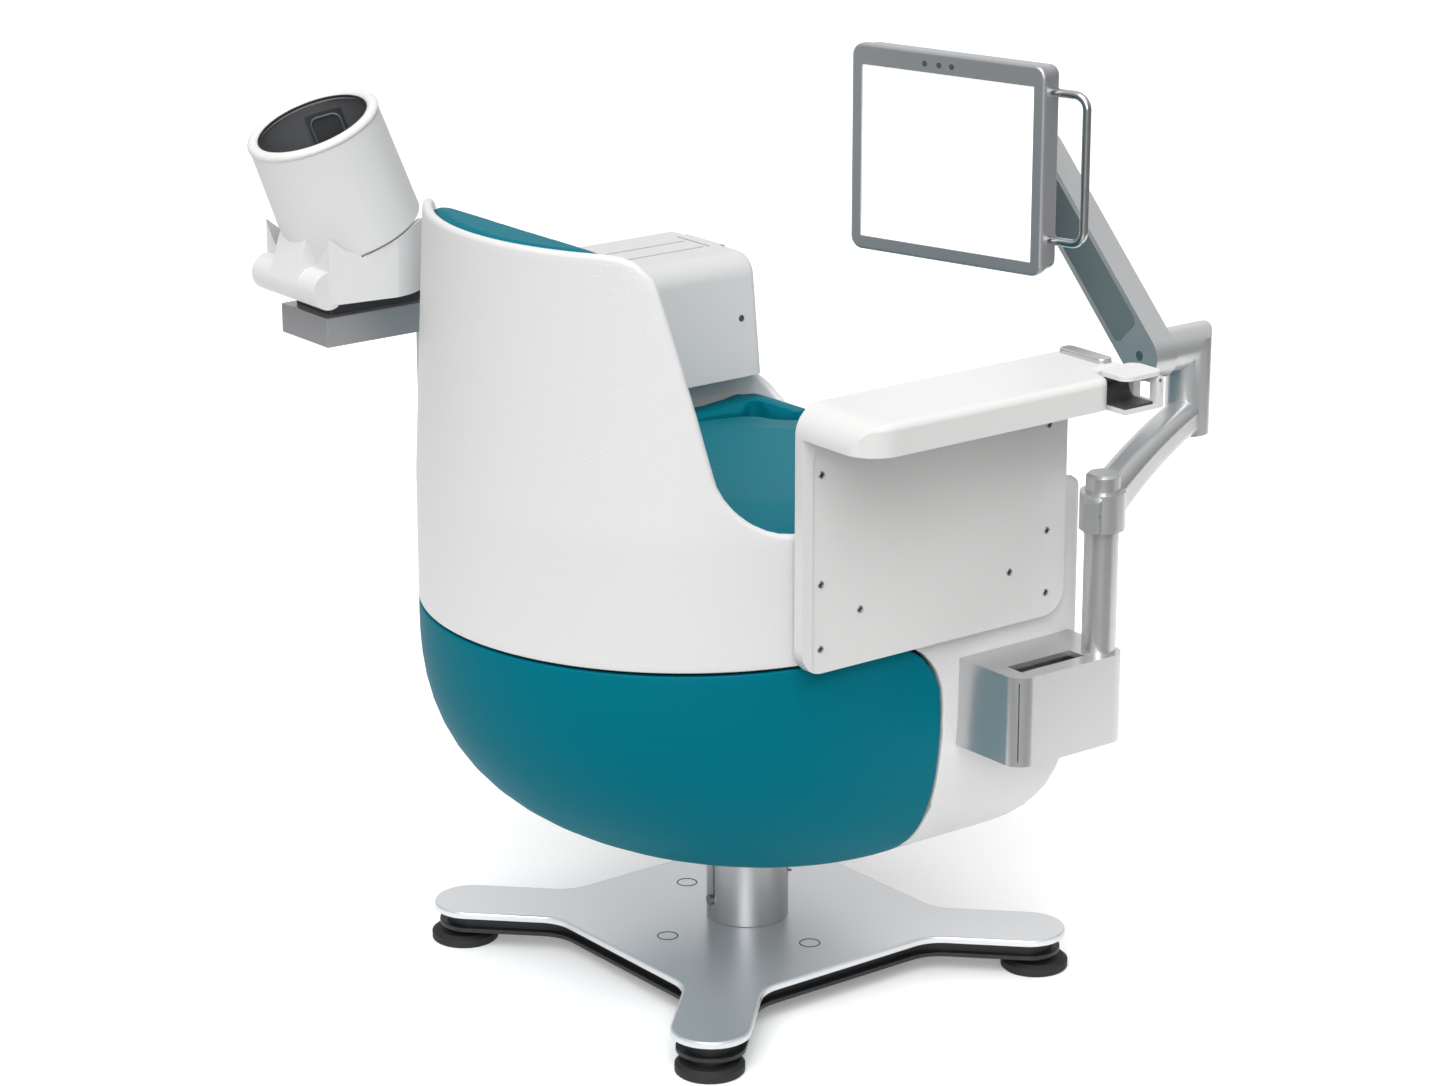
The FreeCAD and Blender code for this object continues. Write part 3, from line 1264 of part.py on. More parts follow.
def cuff_pad():
    """Curved pad on the inside of the liner, on the side away from the seat back."""
    depth = S["cuff_wall"] + S["seat_gap"] + S["cuff_liner_wall"]
    start = (S["cuff_length"] - S["cuff_pad_length"]) / 2
    ring = cuff_sleeve("pad_ring", depth, S["cuff_pad_wall"], start, start + S["cuff_pad_length"])
    slab = box("pad_slab", -S["cuff_pad_width"] / 2, S["cuff_pad_width"] / 2,
               -S["cuff_hinge_reach"] - S["cuff_dia"], -S["cuff_hinge_reach"], ZERO, S["cuff_length"] * 2)
    made = DOC.addObject("Part::Common", "cuff_pad_common")
    made.Base = ring
    made.Tool = slab
    keep(lean(made), "cuff_pad")


def cradle_outline(inset, height):
    """Level outline of the cradle: straight from the hinge, then round below the cuff."""
    half = S["cradle_width"].value / 2 - inset
    wide = CUFF_RADIUS.value - 2 - inset
    slant = math.cos(math.radians(S["cuff_lean"].value))
    middle = -S["cuff_hinge_reach"].value * slant
    front = V(0, middle - wide * slant, height)
    points = [V(-half, 0, height), V(-wide, middle, height), V(wide, middle, height), V(half, 0, height)]
    return Part.Wire([Part.makeLine(points[0], points[1]), Part.Arc(points[1], front, points[2]).toShape(),
                      Part.makeLine(points[2], points[3]), Part.makeLine(points[3], points[0])])


def cuff_cradle():
    """Foot of the cuff, hollow for the elbow and open in front, with two hinge barrels."""
    half = S["cradle_width"].value / 2
    wall = S["cradle_wall"].value
    floor = NECK_TOP.value - HINGE_Z.value
    tongue = (S["cuff_tongue"] / 2 + S["seat_gap"]).value
    rise = CUFF_RADIUS.value
    shape = Part.Face(cradle_outline(0, floor)).extrude(V(0, 0, rise))
    barrel = Part.makeCylinder(HINGE_RADIUS.value, 2 * half, V(-half, 0, 0), V(1, 0, 0))
    shape = shape.fuse(barrel)
    hollow = Part.Face(cradle_outline(wall, floor + wall)).extrude(V(0, 0, rise))
    behind = Part.makeBox(FAR, FAR, FAR, V(-FAR / 2, -HINGE_RADIUS.value * 1.4, -FAR / 2))
    mouth = Part.makeBox(100, FAR, FAR, V(-50, -FAR - S["cuff_hinge_reach"].value, floor + wall))
    slot = Part.makeBox(2 * tongue, FAR / 4, FAR, V(-tongue, -HINGE_RADIUS.value * 2, floor + wall))
    swing = Part.makeCylinder(HINGE_RADIUS.value + 2, 2 * tongue, V(-tongue, 0, 0), V(1, 0, 0))
    end = half - 4
    bore = Part.makeCylinder(S["cuff_pin_dia"].value / 2, 2 * end, V(-end, 0, 0), V(1, 0, 0))
    gap = S["cuff_gap"].value
    swept = []
    for turn in (0.0, 7.0, 14.0, 21.0):
        tube = Part.makeCylinder(CUFF_RADIUS.value + gap, FAR,
                                 V(0, -S["cuff_hinge_reach"].value, S["cuff_start"].value - gap))
        tube.rotate(V(0, 0, 0), V(1, 0, 0), -S["cuff_lean"].value - turn)
        swept.append(tube)
    under = Part.makeBox(4 * half, 4 * half, FAR,
                         V(-2 * half, -4 * half - HINGE_RADIUS.value / 2, floor - FAR))
    made = solid("cuff_cradle", shape.cut([hollow.cut(behind), mouth, slot, swing, bore, under] + swept))
    place(made, CUFF_MIDDLE, HINGE_Y, HINGE_Z)
    keep(made, "cuff_cradle")


def cuff_pin():
    made = cross_rod("cuff_hinge_pin", S["cuff_pin_dia"] / 2, S["cradle_width"] - 8)
    holder = group("cuff_pin", [made])
    place(holder, CUFF_MIDDLE, HINGE_Y, HINGE_Z)
    keep(holder, "cuff_pin")


# Post

POST_RADIUS = S["post_dia"] / 2
HOLDER_TOP = S["holder_bottom"] + S["holder_height"]
HOLDER_WALL = S["shell_wall"] / 2


def post_holder():
    """Box on the side wall that takes the foot of the post, with a long slot in its top."""
    part = body("holder_block", kept=False)
    drawn = sketch(part, "XY_Plane", S["holder_bottom"])
    rectangle(drawn, -HOLDER_OUTER, -S["tub_half_width"] + S["shell_wall"] * 2, -S["holder_front"],
              -S["holder_rear"])
    pad(part, drawn, S["holder_height"])
    outer = -HOLDER_OUTER.value
    round_edges(part, S["holder_round"], lambda edge: along(edge, UP) and edge.CenterOfMass.x < outer + 1)
    wall = HOLDER_WALL
    hollow = box("holder_hollow", -HOLDER_OUTER + wall, ZERO, -S["holder_front"] + wall,
                 -S["holder_rear"] - wall, S["holder_bottom"] + wall, HOLDER_TOP - wall)
    middle = -POST_SIDE + S["holder_slot"] / 3
    slot = box("holder_slot", middle - S["holder_slot"] / 2, middle + S["holder_slot"] / 2,
               -S["post_front"] + POST_RADIUS + wall, -S["holder_rear"] - S["holder_round"],
               HOLDER_TOP - S["holder_slot_depth"], HOLDER_TOP + 1)
    bore = rod("holder_bore", POST_RADIUS, S["holder_height"], -POST_SIDE, -S["post_front"],
               S["holder_bottom"] + wall)
    tub = solid("holder_tub", hull_solid(-S["seat_gap"].value))
    keep(cut("post_holder", part, hollow, slot, bore, tub), "post_holder")


def post():
    edge = S["post_chamfer"]
    low = S["holder_bottom"] + HOLDER_WALL
    part = turned("post", [(ZERO, low), (POST_RADIUS, low), (POST_RADIUS, S["post_top"] - edge),
                           (POST_RADIUS - edge, S["post_top"]), (ZERO, S["post_top"])])
    place(part, -POST_SIDE, -S["post_front"])


# Lower arm and yoke

YOKE_X = -POST_SIDE + S["arm_reach"] * cosine(S["arm_heading"])
YOKE_Y = -S["post_front"] + S["arm_reach"] * sine(S["arm_heading"])
YOKE_RADIUS = S["yoke_dia"] / 2


def arm_profile():
    """Side view of the lower arm: two bowed edges, deep at the collar and level at the yoke."""
    reach = S["arm_reach"].value
    low = S["collar_bottom"].value + 2
    ends = ((low, S["yoke_bottom"].value), (low + S["arm_depth"].value, S["yoke_split"].value))
    curves = []
    for start, end in ends:
        middle = V(reach / 2, 0, start + (end - start) * 0.75)
        curves.append(Part.Arc(V(0, 0, start), middle, V(reach, 0, end)).toShape())
    sides = [Part.makeLine(V(x, 0, ends[0][i]), V(x, 0, ends[1][i])) for i, x in enumerate((0, reach))]
    return Part.Wire(Part.__sortEdges__(curves + sides))


def lower_arm():
    """Casting that turns on the post: collar, bowed arm and the foot of the yoke."""
    reach = S["arm_reach"].value
    collar_radius = S["collar_dia"].value / 2
    middle = (S["collar_bottom"] + S["collar_height"] / 2).value
    width = S["arm_width"].value
    bow = Part.Face(arm_profile()).extrude(V(0, width, 0))
    bow.translate(V(0, -width / 2, 0))
    bow = bow.makeFillet(14, [edge for edge in bow.Edges if edge.Curve.TypeId == "Part::GeomCircle"])
    collar = Part.makeCylinder(collar_radius, S["collar_height"].value, V(0, 0, S["collar_bottom"].value))
    foot = Part.makeCylinder(YOKE_RADIUS.value, (S["yoke_split"] - S["yoke_bottom"]).value,
                             V(reach, 0, S["yoke_bottom"].value))
    lug = Part.makeBox(collar_radius + 14, 16, S["collar_height"].value * 0.8,
                       V(-collar_radius - 14, -8, S["collar_bottom"].value + S["collar_height"].value * 0.1))
    shape = collar.fuse([bow, foot, lug])
    shape = shape.cut(Part.makeCylinder((POST_RADIUS + S["running_fit"]).value, FAR, V(0, 0, 400)))
    shape = shape.cut(Part.makeCylinder(S["yoke_spindle_dia"].value / 2, FAR, V(reach, 0, 400)))
    shape = shape.cut(Part.makeCylinder(S["collar_screw_dia"].value / 2, 60,
                                        V(-collar_radius - 7, -30, middle), V(0, 1, 0)))
    made = solid("lower_arm", shape)
    place(made, -POST_SIDE, -S["post_front"], ZERO, (0, 0, 1), S["arm_heading"])
    keep(made, "lower_arm")


LINK_RADIUS = S["link_height"] / 2
LINK_HALF = S["link_width"] / 2
LINK_Y = YOKE_Y + S["link_offset"]
HEAD_X = YOKE_X + S["link_length"] * cosine(S["link_rise"])
HEAD_Z = S["lift_height"] + S["link_length"] * sine(S["link_rise"])
LEVEL_X = S["level_offset"] * sine(S["link_rise"])
LEVEL_Z = -S["level_offset"] * cosine(S["link_rise"])
JOURNAL = S["journal_dia"] / 2
CHANNEL = LINK_HALF - S["link_wall"]


def yoke_spindle():
    length = S["yoke_split"] - S["yoke_bottom"] + S["lift_barrel_dia"] / 2
    keep(rod("yoke_spindle", S["yoke_spindle_dia"] / 2, length, YOKE_X, YOKE_Y, S["yoke_bottom"]),
         "yoke_spindle")


def yoke():
    """Elbow that turns on the lower arm and carries the level axle of the upper arm."""
    lift = S["lift_height"].value
    barrel_radius = S["lift_barrel_dia"].value / 2
    split = (S["yoke_split"] + S["running_fit"]).value
    inner = (S["link_offset"] - LINK_HALF - S["seat_gap"]).value
    stem = Part.makeCylinder(YOKE_RADIUS.value, lift - split + barrel_radius, V(0, 0, split))
    crown = Part.makeCylinder(barrel_radius, 4 * barrel_radius, V(0, -2 * barrel_radius, lift), V(0, 1, 0))
    lower = Part.makeBox(FAR, FAR, FAR, V(-FAR / 2, -FAR / 2, lift - FAR))
    barrel = Part.makeCylinder(barrel_radius, inner, V(0, 0, lift), V(0, 1, 0))
    journal = Part.makeCylinder(JOURNAL.value, (LINK_HALF - CHANNEL + S["seat_gap"]).value, V(0, inner, lift),
                                V(0, 1, 0))
    pin_length = (S["link_offset"] + S["level_width"] / 2).value - inner
    pin = Part.makeCylinder(S["level_pin_dia"].value / 2, pin_length,
                            V(LEVEL_X.value, inner, lift + LEVEL_Z.value), V(0, 1, 0))
    shape = stem.common(crown.fuse(lower)).fuse([barrel, journal, pin])
    bore = Part.makeCylinder((S["yoke_spindle_dia"] / 2 + S["running_fit"]).value,
                             barrel_radius + S["seat_gap"].value, V(0, 0, S["yoke_split"].value))
    axle = Part.makeCylinder(S["lift_pin_dia"].value / 2, FAR, V(0, barrel_radius, lift), V(0, 1, 0))
    made = solid("yoke", shape.cut(bore).cut(axle))
    place(made, YOKE_X, YOKE_Y)
    keep(made, "yoke")


def lift_pin():
    start = S["lift_barrel_dia"] / 2
    keep(rod("lift_pin", S["lift_pin_dia"] / 2, S["link_offset"] + LINK_HALF - start, YOKE_X, YOKE_Y + start,
             S["lift_height"], LENGTHWISE, Dim.of(-90.0)), "lift_pin")


# Upper arm, in a frame that starts on the lift axis and runs along the arm

def stadium(name, length, radius, low, high):
    """Flat bar with round ends, standing across the arm from low to high."""
    bar = box(name + "_bar", ZERO, length, low, high, -radius, radius)
    ends = [rod("%s_end%d" % (name, number), radius, high - low, x, low, ZERO, LENGTHWISE, Dim.of(-90.0))
            for number, x in enumerate((ZERO, length))]
    return fuse(name, bar, *ends)


def panel_prism(grow, low, high):
    """Rounded side panel of the arm between its two journals."""
    reach = LINK_RADIUS.value + 2 - grow
    half = (LINK_RADIUS - S["panel_inset"]).value + grow
    length = S["link_length"].value - reach
    corners = [(V(reach, low, -half), 9 + grow), (V(length, low, -half), 9 + grow),
               (V(length, low, half), 9 + grow), (V(reach, low, half), 9 + grow)]
    return prism(corners, V(0, high - low, 0))


def raise_arm(thing, x=ZERO, z=ZERO):
    place(thing, YOKE_X + x, LINK_Y, S["lift_height"] + z, (0, 1, 0), -S["link_rise"])
    DOC.recompute()
    return thing


def upper_arm():
    length = S["link_length"]
    outer = stadium("arm_outer", length, LINK_RADIUS, -LINK_HALF, LINK_HALF)
    inner = stadium("arm_inner", length, LINK_RADIUS - S["link_wall"], -CHANNEL, CHANNEL)
    under = box("arm_under", ZERO, length, -CHANNEL, CHANNEL, -LINK_RADIUS - 1, ZERO)
    holes = []
    for number, (x, side) in enumerate(((ZERO, -1), (length, 1))):
        big = rod("journal_hole%d" % number, JOURNAL + S["running_fit"], LINK_HALF * 2, x, ZERO, ZERO,
                  LENGTHWISE, Dim.of(-90.0 * side))
        small = rod("axle_hole%d" % number, S["lift_pin_dia"] / 2 + S["running_fit"], LINK_HALF * 2, x, ZERO,
                    ZERO, LENGTHWISE, Dim.of(90.0 * side))
        holes += [big, small]
    depth = (LINK_HALF - S["panel_recess"]).value
    half = LINK_HALF.value
    recesses = [solid("recess%d" % number, panel_prism(S["seat_gap"].value, low, high))
                for number, (low, high) in enumerate(((depth, half + 1), (-half - 1, -depth)))]
    keep(raise_arm(cut("upper_arm", outer, inner, under, *holes, *recesses)), "upper_arm")


def arm_panels():
    depth, half = (LINK_HALF - S["panel_recess"]).value, LINK_HALF.value
    panels = [solid("side%d" % number, panel_prism(0, low, high))
              for number, (low, high) in enumerate(((depth, half), (-half, -depth)))]
    keep(raise_arm(group("arm_panels", panels)), "arm_panels")


def level_bar():
    """Bar inside the arm that keeps the screen upright as the arm rises."""
    length = S["link_length"]
    half = S["level_width"] / 2
    bar = stadium("level_bar", length, S["level_height"] / 2, -half, half)
    holes = [rod("level_hole%d" % number, S["level_pin_dia"] / 2 + S["running_fit"], S["level_width"] + 2, x,
                 -half - 1, ZERO, LENGTHWISE, Dim.of(-90.0)) for number, x in enumerate((ZERO, length))]
    keep(raise_arm(cut("level_bar", bar, *holes), LEVEL_X, LEVEL_Z), "level_bar")


# Head of the arm

PAN_Y = LINK_HALF + S["pan_reach"]
YAW_AXIS = (0, 0, 1)


def head_knuckle():
    """Knuckle in the end of the arm, with the upright boss that the screen pans on."""
    start = CHANNEL - S["seat_gap"]
    journal = Part.makeCylinder(JOURNAL.value, (LINK_HALF + S["seat_gap"] - start).value,
                                V(0, start.value, 0), V(0, 1, 0))
    face = (LINK_HALF + S["seat_gap"]).value
    barrel = Part.makeCylinder(S["head_dia"].value / 2, 12, V(0, face, 0), V(0, 1, 0))
    half = S["pan_boss_height"].value / 2
    boss = Part.makeCylinder(S["pan_dia"].value / 2, 2 * half, V(0, PAN_Y.value, -half))
    neck = Part.makeBox(S["pan_dia"].value, PAN_Y.value - face, 2 * half,
                        V(-S["pan_dia"].value / 2, face, -half))
    reach = (start + S["level_width"] / 2).value
    pin = Part.makeCylinder(S["level_pin_dia"].value / 2, reach,
                            V(LEVEL_X.value, start.value - reach, LEVEL_Z.value), V(0, 1, 0))
    axle = Part.makeCylinder(S["lift_pin_dia"].value / 2, face + 8, V(0, 0, 0), V(0, 1, 0))
    pan = Part.makeCylinder((S["pan_pin_dia"] / 2 + S["running_fit"]).value, 4 * half,
                            V(0, PAN_Y.value, -2 * half))
    made = solid("head_knuckle", journal.fuse([barrel, neck, boss, pin]).cut(axle).cut(pan))
    place(made, HEAD_X, LINK_Y, HEAD_Z)
    keep(made, "head_knuckle")


def head_pin():
    keep(rod("head_pin", S["lift_pin_dia"] / 2, LINK_HALF * 2 + S["seat_gap"] + 8, HEAD_X, LINK_Y - LINK_HALF,
             HEAD_Z, LENGTHWISE, Dim.of(-90.0)), "head_pin")


def at_pan(thing):
    place(thing, HEAD_X, LINK_Y + PAN_Y, HEAD_Z, YAW_AXIS, S["screen_yaw"])
    DOC.recompute()
    return thing


def pan_bracket():
    """Fork over the pan boss, with the tilt barrel at its far end."""
    half = S["pan_boss_height"].value / 2 + S["running_fit"].value
    lug = S["pan_lug"].value
    wide = S["pan_dia"].value / 2 - 2
    reach = S["tilt_reach"].value
    boss = S["pan_dia"].value / 2 + 2
    shape = Part.makeBox(2 * wide, reach - boss, 2 * (half + lug), V(-wide, boss, -half - lug))
    for low in (-half - lug, half):
        arm = Part.makeBox(2 * wide, boss + 1, lug, V(-wide, 0, low))
        shape = shape.fuse([arm, Part.makeCylinder(wide, lug, V(0, 0, low))])
    tilt = S["tilt_width"].value
    shape = shape.fuse(Part.makeCylinder(S["tilt_dia"].value / 2, tilt, V(-tilt / 2, reach, 0), V(1, 0, 0)))
    front = Part.makeBox(FAR, FAR, FAR, V(-FAR / 2, reach, -FAR / 2))
    round_end = Part.makeCylinder(S["tilt_dia"].value / 2, tilt, V(-tilt / 2, reach, 0), V(1, 0, 0))
    shape = shape.cut(front).fuse(round_end)
    shape = shape.cut(Part.makeCylinder(S["pan_pin_dia"].value / 2, FAR, V(0, 0, -FAR / 2)))
    shape = shape.cut(Part.makeCylinder(S["tilt_pin_dia"].value / 2 + S["running_fit"].value, FAR,
                                        V(-FAR / 2, reach, 0), V(1, 0, 0)))
    keep(at_pan(solid("pan_bracket", shape.removeSplitter())), "pan_bracket")


def pan_pin():
    length = S["pan_boss_height"] + S["pan_lug"] * 2
    keep(rod("pan_pin", S["pan_pin_dia"] / 2, length, HEAD_X, LINK_Y + PAN_Y, HEAD_Z - length / 2), "pan_pin")


MOUNT_BACK = S["screen_reach"] - S["screen_depth"] - S["mount_thickness"]


def tilt_pin():
    length = S["tilt_width"] + S["tilt_ear"] * 2
    pin = rod("tilt_rod", S["tilt_pin_dia"] / 2, length, -length / 2, S["tilt_reach"], ZERO,
              ACROSS, Dim.of(90.0))
    keep(at_pan(group("tilt_pin", [pin])), "tilt_pin")


def screen_mount():
    """Plate on the back of the screen with two ears for the tilt pin."""
    half = S["mount_size"] / 2
    plate = box("mount_plate", -half, half, MOUNT_BACK, MOUNT_BACK + S["mount_thickness"], -half, half)
    pieces = [plate]
    ear_radius = S["tilt_dia"] / 2
    for number, low in enumerate((S["tilt_width"] / 2 + S["seat_gap"],
                                  -S["tilt_width"] / 2 - S["seat_gap"] - S["tilt_ear"])):
        pieces.append(box("ear%d" % number, low, low + S["tilt_ear"], S["tilt_reach"], MOUNT_BACK,
                          -ear_radius, ear_radius))
        pieces.append(rod("ear_end%d" % number, ear_radius, S["tilt_ear"], low, S["tilt_reach"], ZERO, ACROSS,
                          Dim.of(90.0)))
    hole = rod("ear_hole", S["tilt_pin_dia"] / 2, S["mount_size"], -half, S["tilt_reach"], ZERO, ACROSS,
               Dim.of(90.0))
    keep(at_pan(cut("screen_mount", fuse("screen_mount", *pieces), hole)), "screen_mount")


# Screen, in a frame at the middle of its front face

SCREEN_X = HEAD_X - S["screen_reach"] * sine(S["screen_yaw"])
SCREEN_Y = LINK_Y + PAN_Y + S["screen_reach"] * cosine(S["screen_yaw"])
FORWARD = V(0, 1, 0)


def at_screen(thing):
    place(thing, SCREEN_X, SCREEN_Y, HEAD_Z + S["screen_lift"], YAW_AXIS, S["screen_yaw"])
    DOC.recompute()
    return thing


def view_rectangle(drawn, grow):
    half = S["view_width"] / 2 + grow
    middle = -S["view_drop"]
    tall = S["view_height"] / 2 + grow
    rectangle(drawn, -half, half, middle - tall, middle + tall)


def sensor_places():
    return [(S["sensor_dia"] * step, S["sensor_lift"]) for step in (4.4, 1.6, -0.9)]


def screen_bezel():
    part = body("screen_bezel")
    half, tall = S["screen_width"] / 2, S["screen_height"] / 2
    drawn = sketch(part, "XZ_Plane")
    rectangle(drawn, -half, half, -tall, tall)
    pad(part, drawn, S["bezel_depth"])
    round_edges(part, S["screen_corner"], lambda edge: along(edge, FORWARD))
    round_edges(part, S["bezel_depth"] / 3, lambda edge: lies(edge, FORWARD, 0.0))
    drawn = sketch(part, "XZ_Plane", -ONE)
    view_rectangle(drawn, ZERO)
    pocket(part, drawn, S["bezel_depth"] + 2, backward=True)
    drawn = sketch(part, "XZ_Plane", S["bezel_depth"] / 4)
    view_rectangle(drawn, S["glass_thickness"])
    pocket(part, drawn, S["bezel_depth"], backward=True)
    drawn = sketch(part, "XZ_Plane", -ONE)
    for x, z in sensor_places():
        circle(drawn, x, z, S["sensor_dia"] / 2)
    pocket(part, drawn, ONE * 2, backward=True)
    at_screen(part)


def screen_glass():
    front = S["bezel_depth"] / 4
    half = S["view_width"] / 2 + S["glass_thickness"] - S["seat_gap"]
    tall = S["view_height"] / 2 + S["glass_thickness"] - S["seat_gap"]
    middle = -S["view_drop"]
    glass = box("glass_plate", -half, half, -front - S["glass_thickness"], -front,
                middle - tall, middle + tall)
    keep(at_screen(group("screen_glass", [glass])), "screen_glass")


def sensor_windows():
    windows = [rod("window%d" % number, S["sensor_dia"] / 2 - S["running_fit"], ONE, x, -ONE, z, LENGTHWISE,
                   Dim.of(-90.0)) for number, (x, z) in enumerate(sensor_places())]
    keep(at_screen(group("sensor_windows", windows)), "sensor_windows")


COVER_INSET = S["bezel_depth"] / 4


def screen_cover():
    part = body("screen_cover")
    half, tall = S["screen_width"] / 2 - COVER_INSET, S["screen_height"] / 2 - COVER_INSET
    drawn = sketch(part, "XZ_Plane", S["bezel_depth"])
    rectangle(drawn, -half, half, -tall, tall)
    deep = S["screen_depth"] - S["bezel_depth"]
    pad(part, drawn, deep)
    round_edges(part, S["screen_corner"] - COVER_INSET, lambda edge: along(edge, FORWARD))
    round_edges(part, S["screen_corner"] / 2, lambda edge: lies(edge, FORWARD, -S["screen_depth"].value))
    drawn = sketch(part, "XZ_Plane", S["bezel_depth"] - 1)
    wall = COVER_INSET * 2
    rectangle(drawn, wall - half, half - wall, wall - tall, tall - wall)
    pocket(part, drawn, deep - wall + 1, backward=True)
    at_screen(part)


def screen_handle():
    """Bent rod on the side of the housing."""
    radius = S["handle_dia"].value / 2
    root = -(S["screen_width"] / 2 - COVER_INSET).value
    out = root - S["handle_reach"].value
    half = S["handle_height"].value / 2 - radius
    bend = S["handle_bend"].value
    slack = bend * (1 - math.sqrt(0.5))
    corners = [V(root, 0, half), V(out + bend, 0, half), V(out, 0, half - bend), V(out, 0, bend - half),
               V(out + bend, 0, -half), V(root, 0, -half)]
    path = Part.Wire([Part.makeLine(corners[0], corners[1]),
                      Part.Arc(corners[1], V(out + slack, 0, half - slack), corners[2]).toShape(),
                      Part.makeLine(corners[2], corners[3]),
                      Part.Arc(corners[3], V(out + slack, 0, slack - half), corners[4]).toShape(),
                      Part.makeLine(corners[4], corners[5])])
    ring = Part.Wire(Part.makeCircle(radius, corners[0], V(1, 0, 0)))
    made = solid("screen_handle", path.makePipeShell([ring], True, False))
    place(made, SCREEN_X - S["handle_back"] * -sine(S["screen_yaw"]),
          SCREEN_Y - S["handle_back"] * cosine(S["screen_yaw"]),
          HEAD_Z + S["screen_lift"] + S["handle_lift"], YAW_AXIS, S["screen_yaw"])
    keep(made, "screen_handle")


def build():
    for make in (base_plate, plate_caps, base_underframe, foot_pads, column_socket, column_tube,
                 column_screws, swivel_bush, thrust_ring, seat_spindle, spindle_nut, upper_shell,
                 lower_cover, seam_strip, seat_frame, seat_pan, seat_cushion, back_cushion,
                 side_linings, right_armrest, armrest_trim, clip_base, clip_liner, clip_lid, clip_pin,
                 console_housing, console_bracket, printer_flap, flap_pin, cuff_bracket, cuff_neck,
                 cuff_cradle, cuff_pin, cuff_shell, cuff_liner, cuff_pad, post_holder, post, lower_arm,
                 yoke_spindle, yoke, lift_pin, upper_arm, arm_panels, level_bar, head_knuckle, head_pin,
                 pan_bracket, pan_pin, tilt_pin, screen_mount, screen_bezel, screen_glass,
                 sensor_windows, screen_cover, screen_handle):
        make()


def write():
    DOC.recompute()
    os.makedirs("parts", exist_ok=True)
    for each in DOC.Objects:
        if "Invalid" in each.State or "Error" in each.State:
            raise ValueError("%s did not recompute: %s" % (each.Label, each.State))
    for piece in PIECES:
        if piece.Shape.isNull() or not piece.Shape.isValid():
            raise ValueError("%s has no valid shape" % piece.Label)
        piece.Shape.exportStep("parts/%s.step" % piece.Label)


build()
write()
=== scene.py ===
import math

import bmesh
import bpy
from mathutils import Matrix, Vector


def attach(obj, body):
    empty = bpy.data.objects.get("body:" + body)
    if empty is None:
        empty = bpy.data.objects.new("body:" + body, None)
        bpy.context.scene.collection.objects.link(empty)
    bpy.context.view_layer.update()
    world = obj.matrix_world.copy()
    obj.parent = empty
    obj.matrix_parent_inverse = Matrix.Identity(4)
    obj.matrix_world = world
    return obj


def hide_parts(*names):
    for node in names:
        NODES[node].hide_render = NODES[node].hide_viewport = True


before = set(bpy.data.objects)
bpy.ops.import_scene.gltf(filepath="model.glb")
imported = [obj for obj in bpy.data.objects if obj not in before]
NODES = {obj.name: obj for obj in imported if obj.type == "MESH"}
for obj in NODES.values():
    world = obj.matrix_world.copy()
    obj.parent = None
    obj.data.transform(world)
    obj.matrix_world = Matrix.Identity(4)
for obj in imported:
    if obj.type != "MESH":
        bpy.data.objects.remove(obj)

bl_info = {
    "name": "Patient Chair",
    "version": (1, 0, 0),
    "blender": (4, 5, 0),
    "location": "3D View > Sidebar > Chair",
    "description": "Dresses the patient chair and sets its studio",
    "category": "Object",
}

# Outside of the tub in metres, as the solids have it.
HALF, REAR, FRONT = 0.310, 0.400, 0.264
BOTTOM, SHOULDER = 0.163, 0.460
SIDE_POWER, REAR_POWER, FRONT_POWER = 3.6, 2.3, 6.0
FRONT_CORNER, TOP_DRAW_IN, WALL = 0.050, 0.014, 0.012
RIM, BACK = 0.630, 0.940
WING_TOP, WING_LOW, WING_ROUND = 0.298, 0.236, 0.032
NOTCH_ROUND, FRONT_ROUND, FRONT_CLEAR = 0.066, 0.055, 0.007
SILL, SILL_HALF, SILL_ROUND, SILL_DEEP = 0.506, 0.175, 0.030, -0.132
SPLIT, SPLIT_FRONT, SPLIT_ROUND, SPLIT_GAP = 0.478, 0.037, 0.085, 0.004
COLUMN_HOLE = 0.053

# Grid of the tub: points along half the front, round a front corner, along a side and round half the rear,
# and the most of the half width that a corner takes where the hull is narrow.
FRONT_STEPS, CORNER_STEPS, SIDE_STEPS, REAR_STEPS = 12, 9, 22, 30
CORNER_SHARE = 0.6
# Rows of the hull from the bottom up, as shares of a quarter turn from the shoulder, closest near the bottom.
HULL_STEPS = (0.97, 0.96, 0.945, 0.93, 0.91, 0.89, 0.865, 0.84, 0.81, 0.78, 0.75, 0.71, 0.67, 0.62, 0.57,
              0.52, 0.46, 0.40, 0.34, 0.28, 0.22, 0.16, 0.10, 0.05)
# Rows from the shoulder up, spaced so that none lies close to a level rim, and how far the last stands over
# the back.
WALL_ROWS, TOP_SPARE = 36, 0.03
# Where the triangles that close the bottom meet, before the hole for the column is cut.
BOTTOM_MIDDLE = -0.037
# Degrees between the points round a lip.
LIP_STEP = 18

# Points closer than these are joined: on a copied solid, on a new mesh, and along the cuts of the tub.
SOLID_JOIN, MESH_JOIN, SLIVER = 0.00002, 0.000005, 0.0025

# Holes in the side panel: outer face, bore and the places of the holes as (y, z).
PANEL_FACE, HOLE_RADIUS = -0.3213, 0.0025
PANEL_HOLES = [(y, z) for y in (-0.178, 0.151) for z in (0.700, 0.576, 0.502)]
PANEL_HOLES += [(-0.1225, 0.537), (0.0955, 0.537)]
# Eyelet in a hole, as points of (distance outside the bore, height over the panel).
EYELET = ((0.0, -0.004), (0.0, 0.0004), (0.0004, 0.0008), (0.0014, 0.0008), (0.0018, 0.0), (0.0018, -0.004))

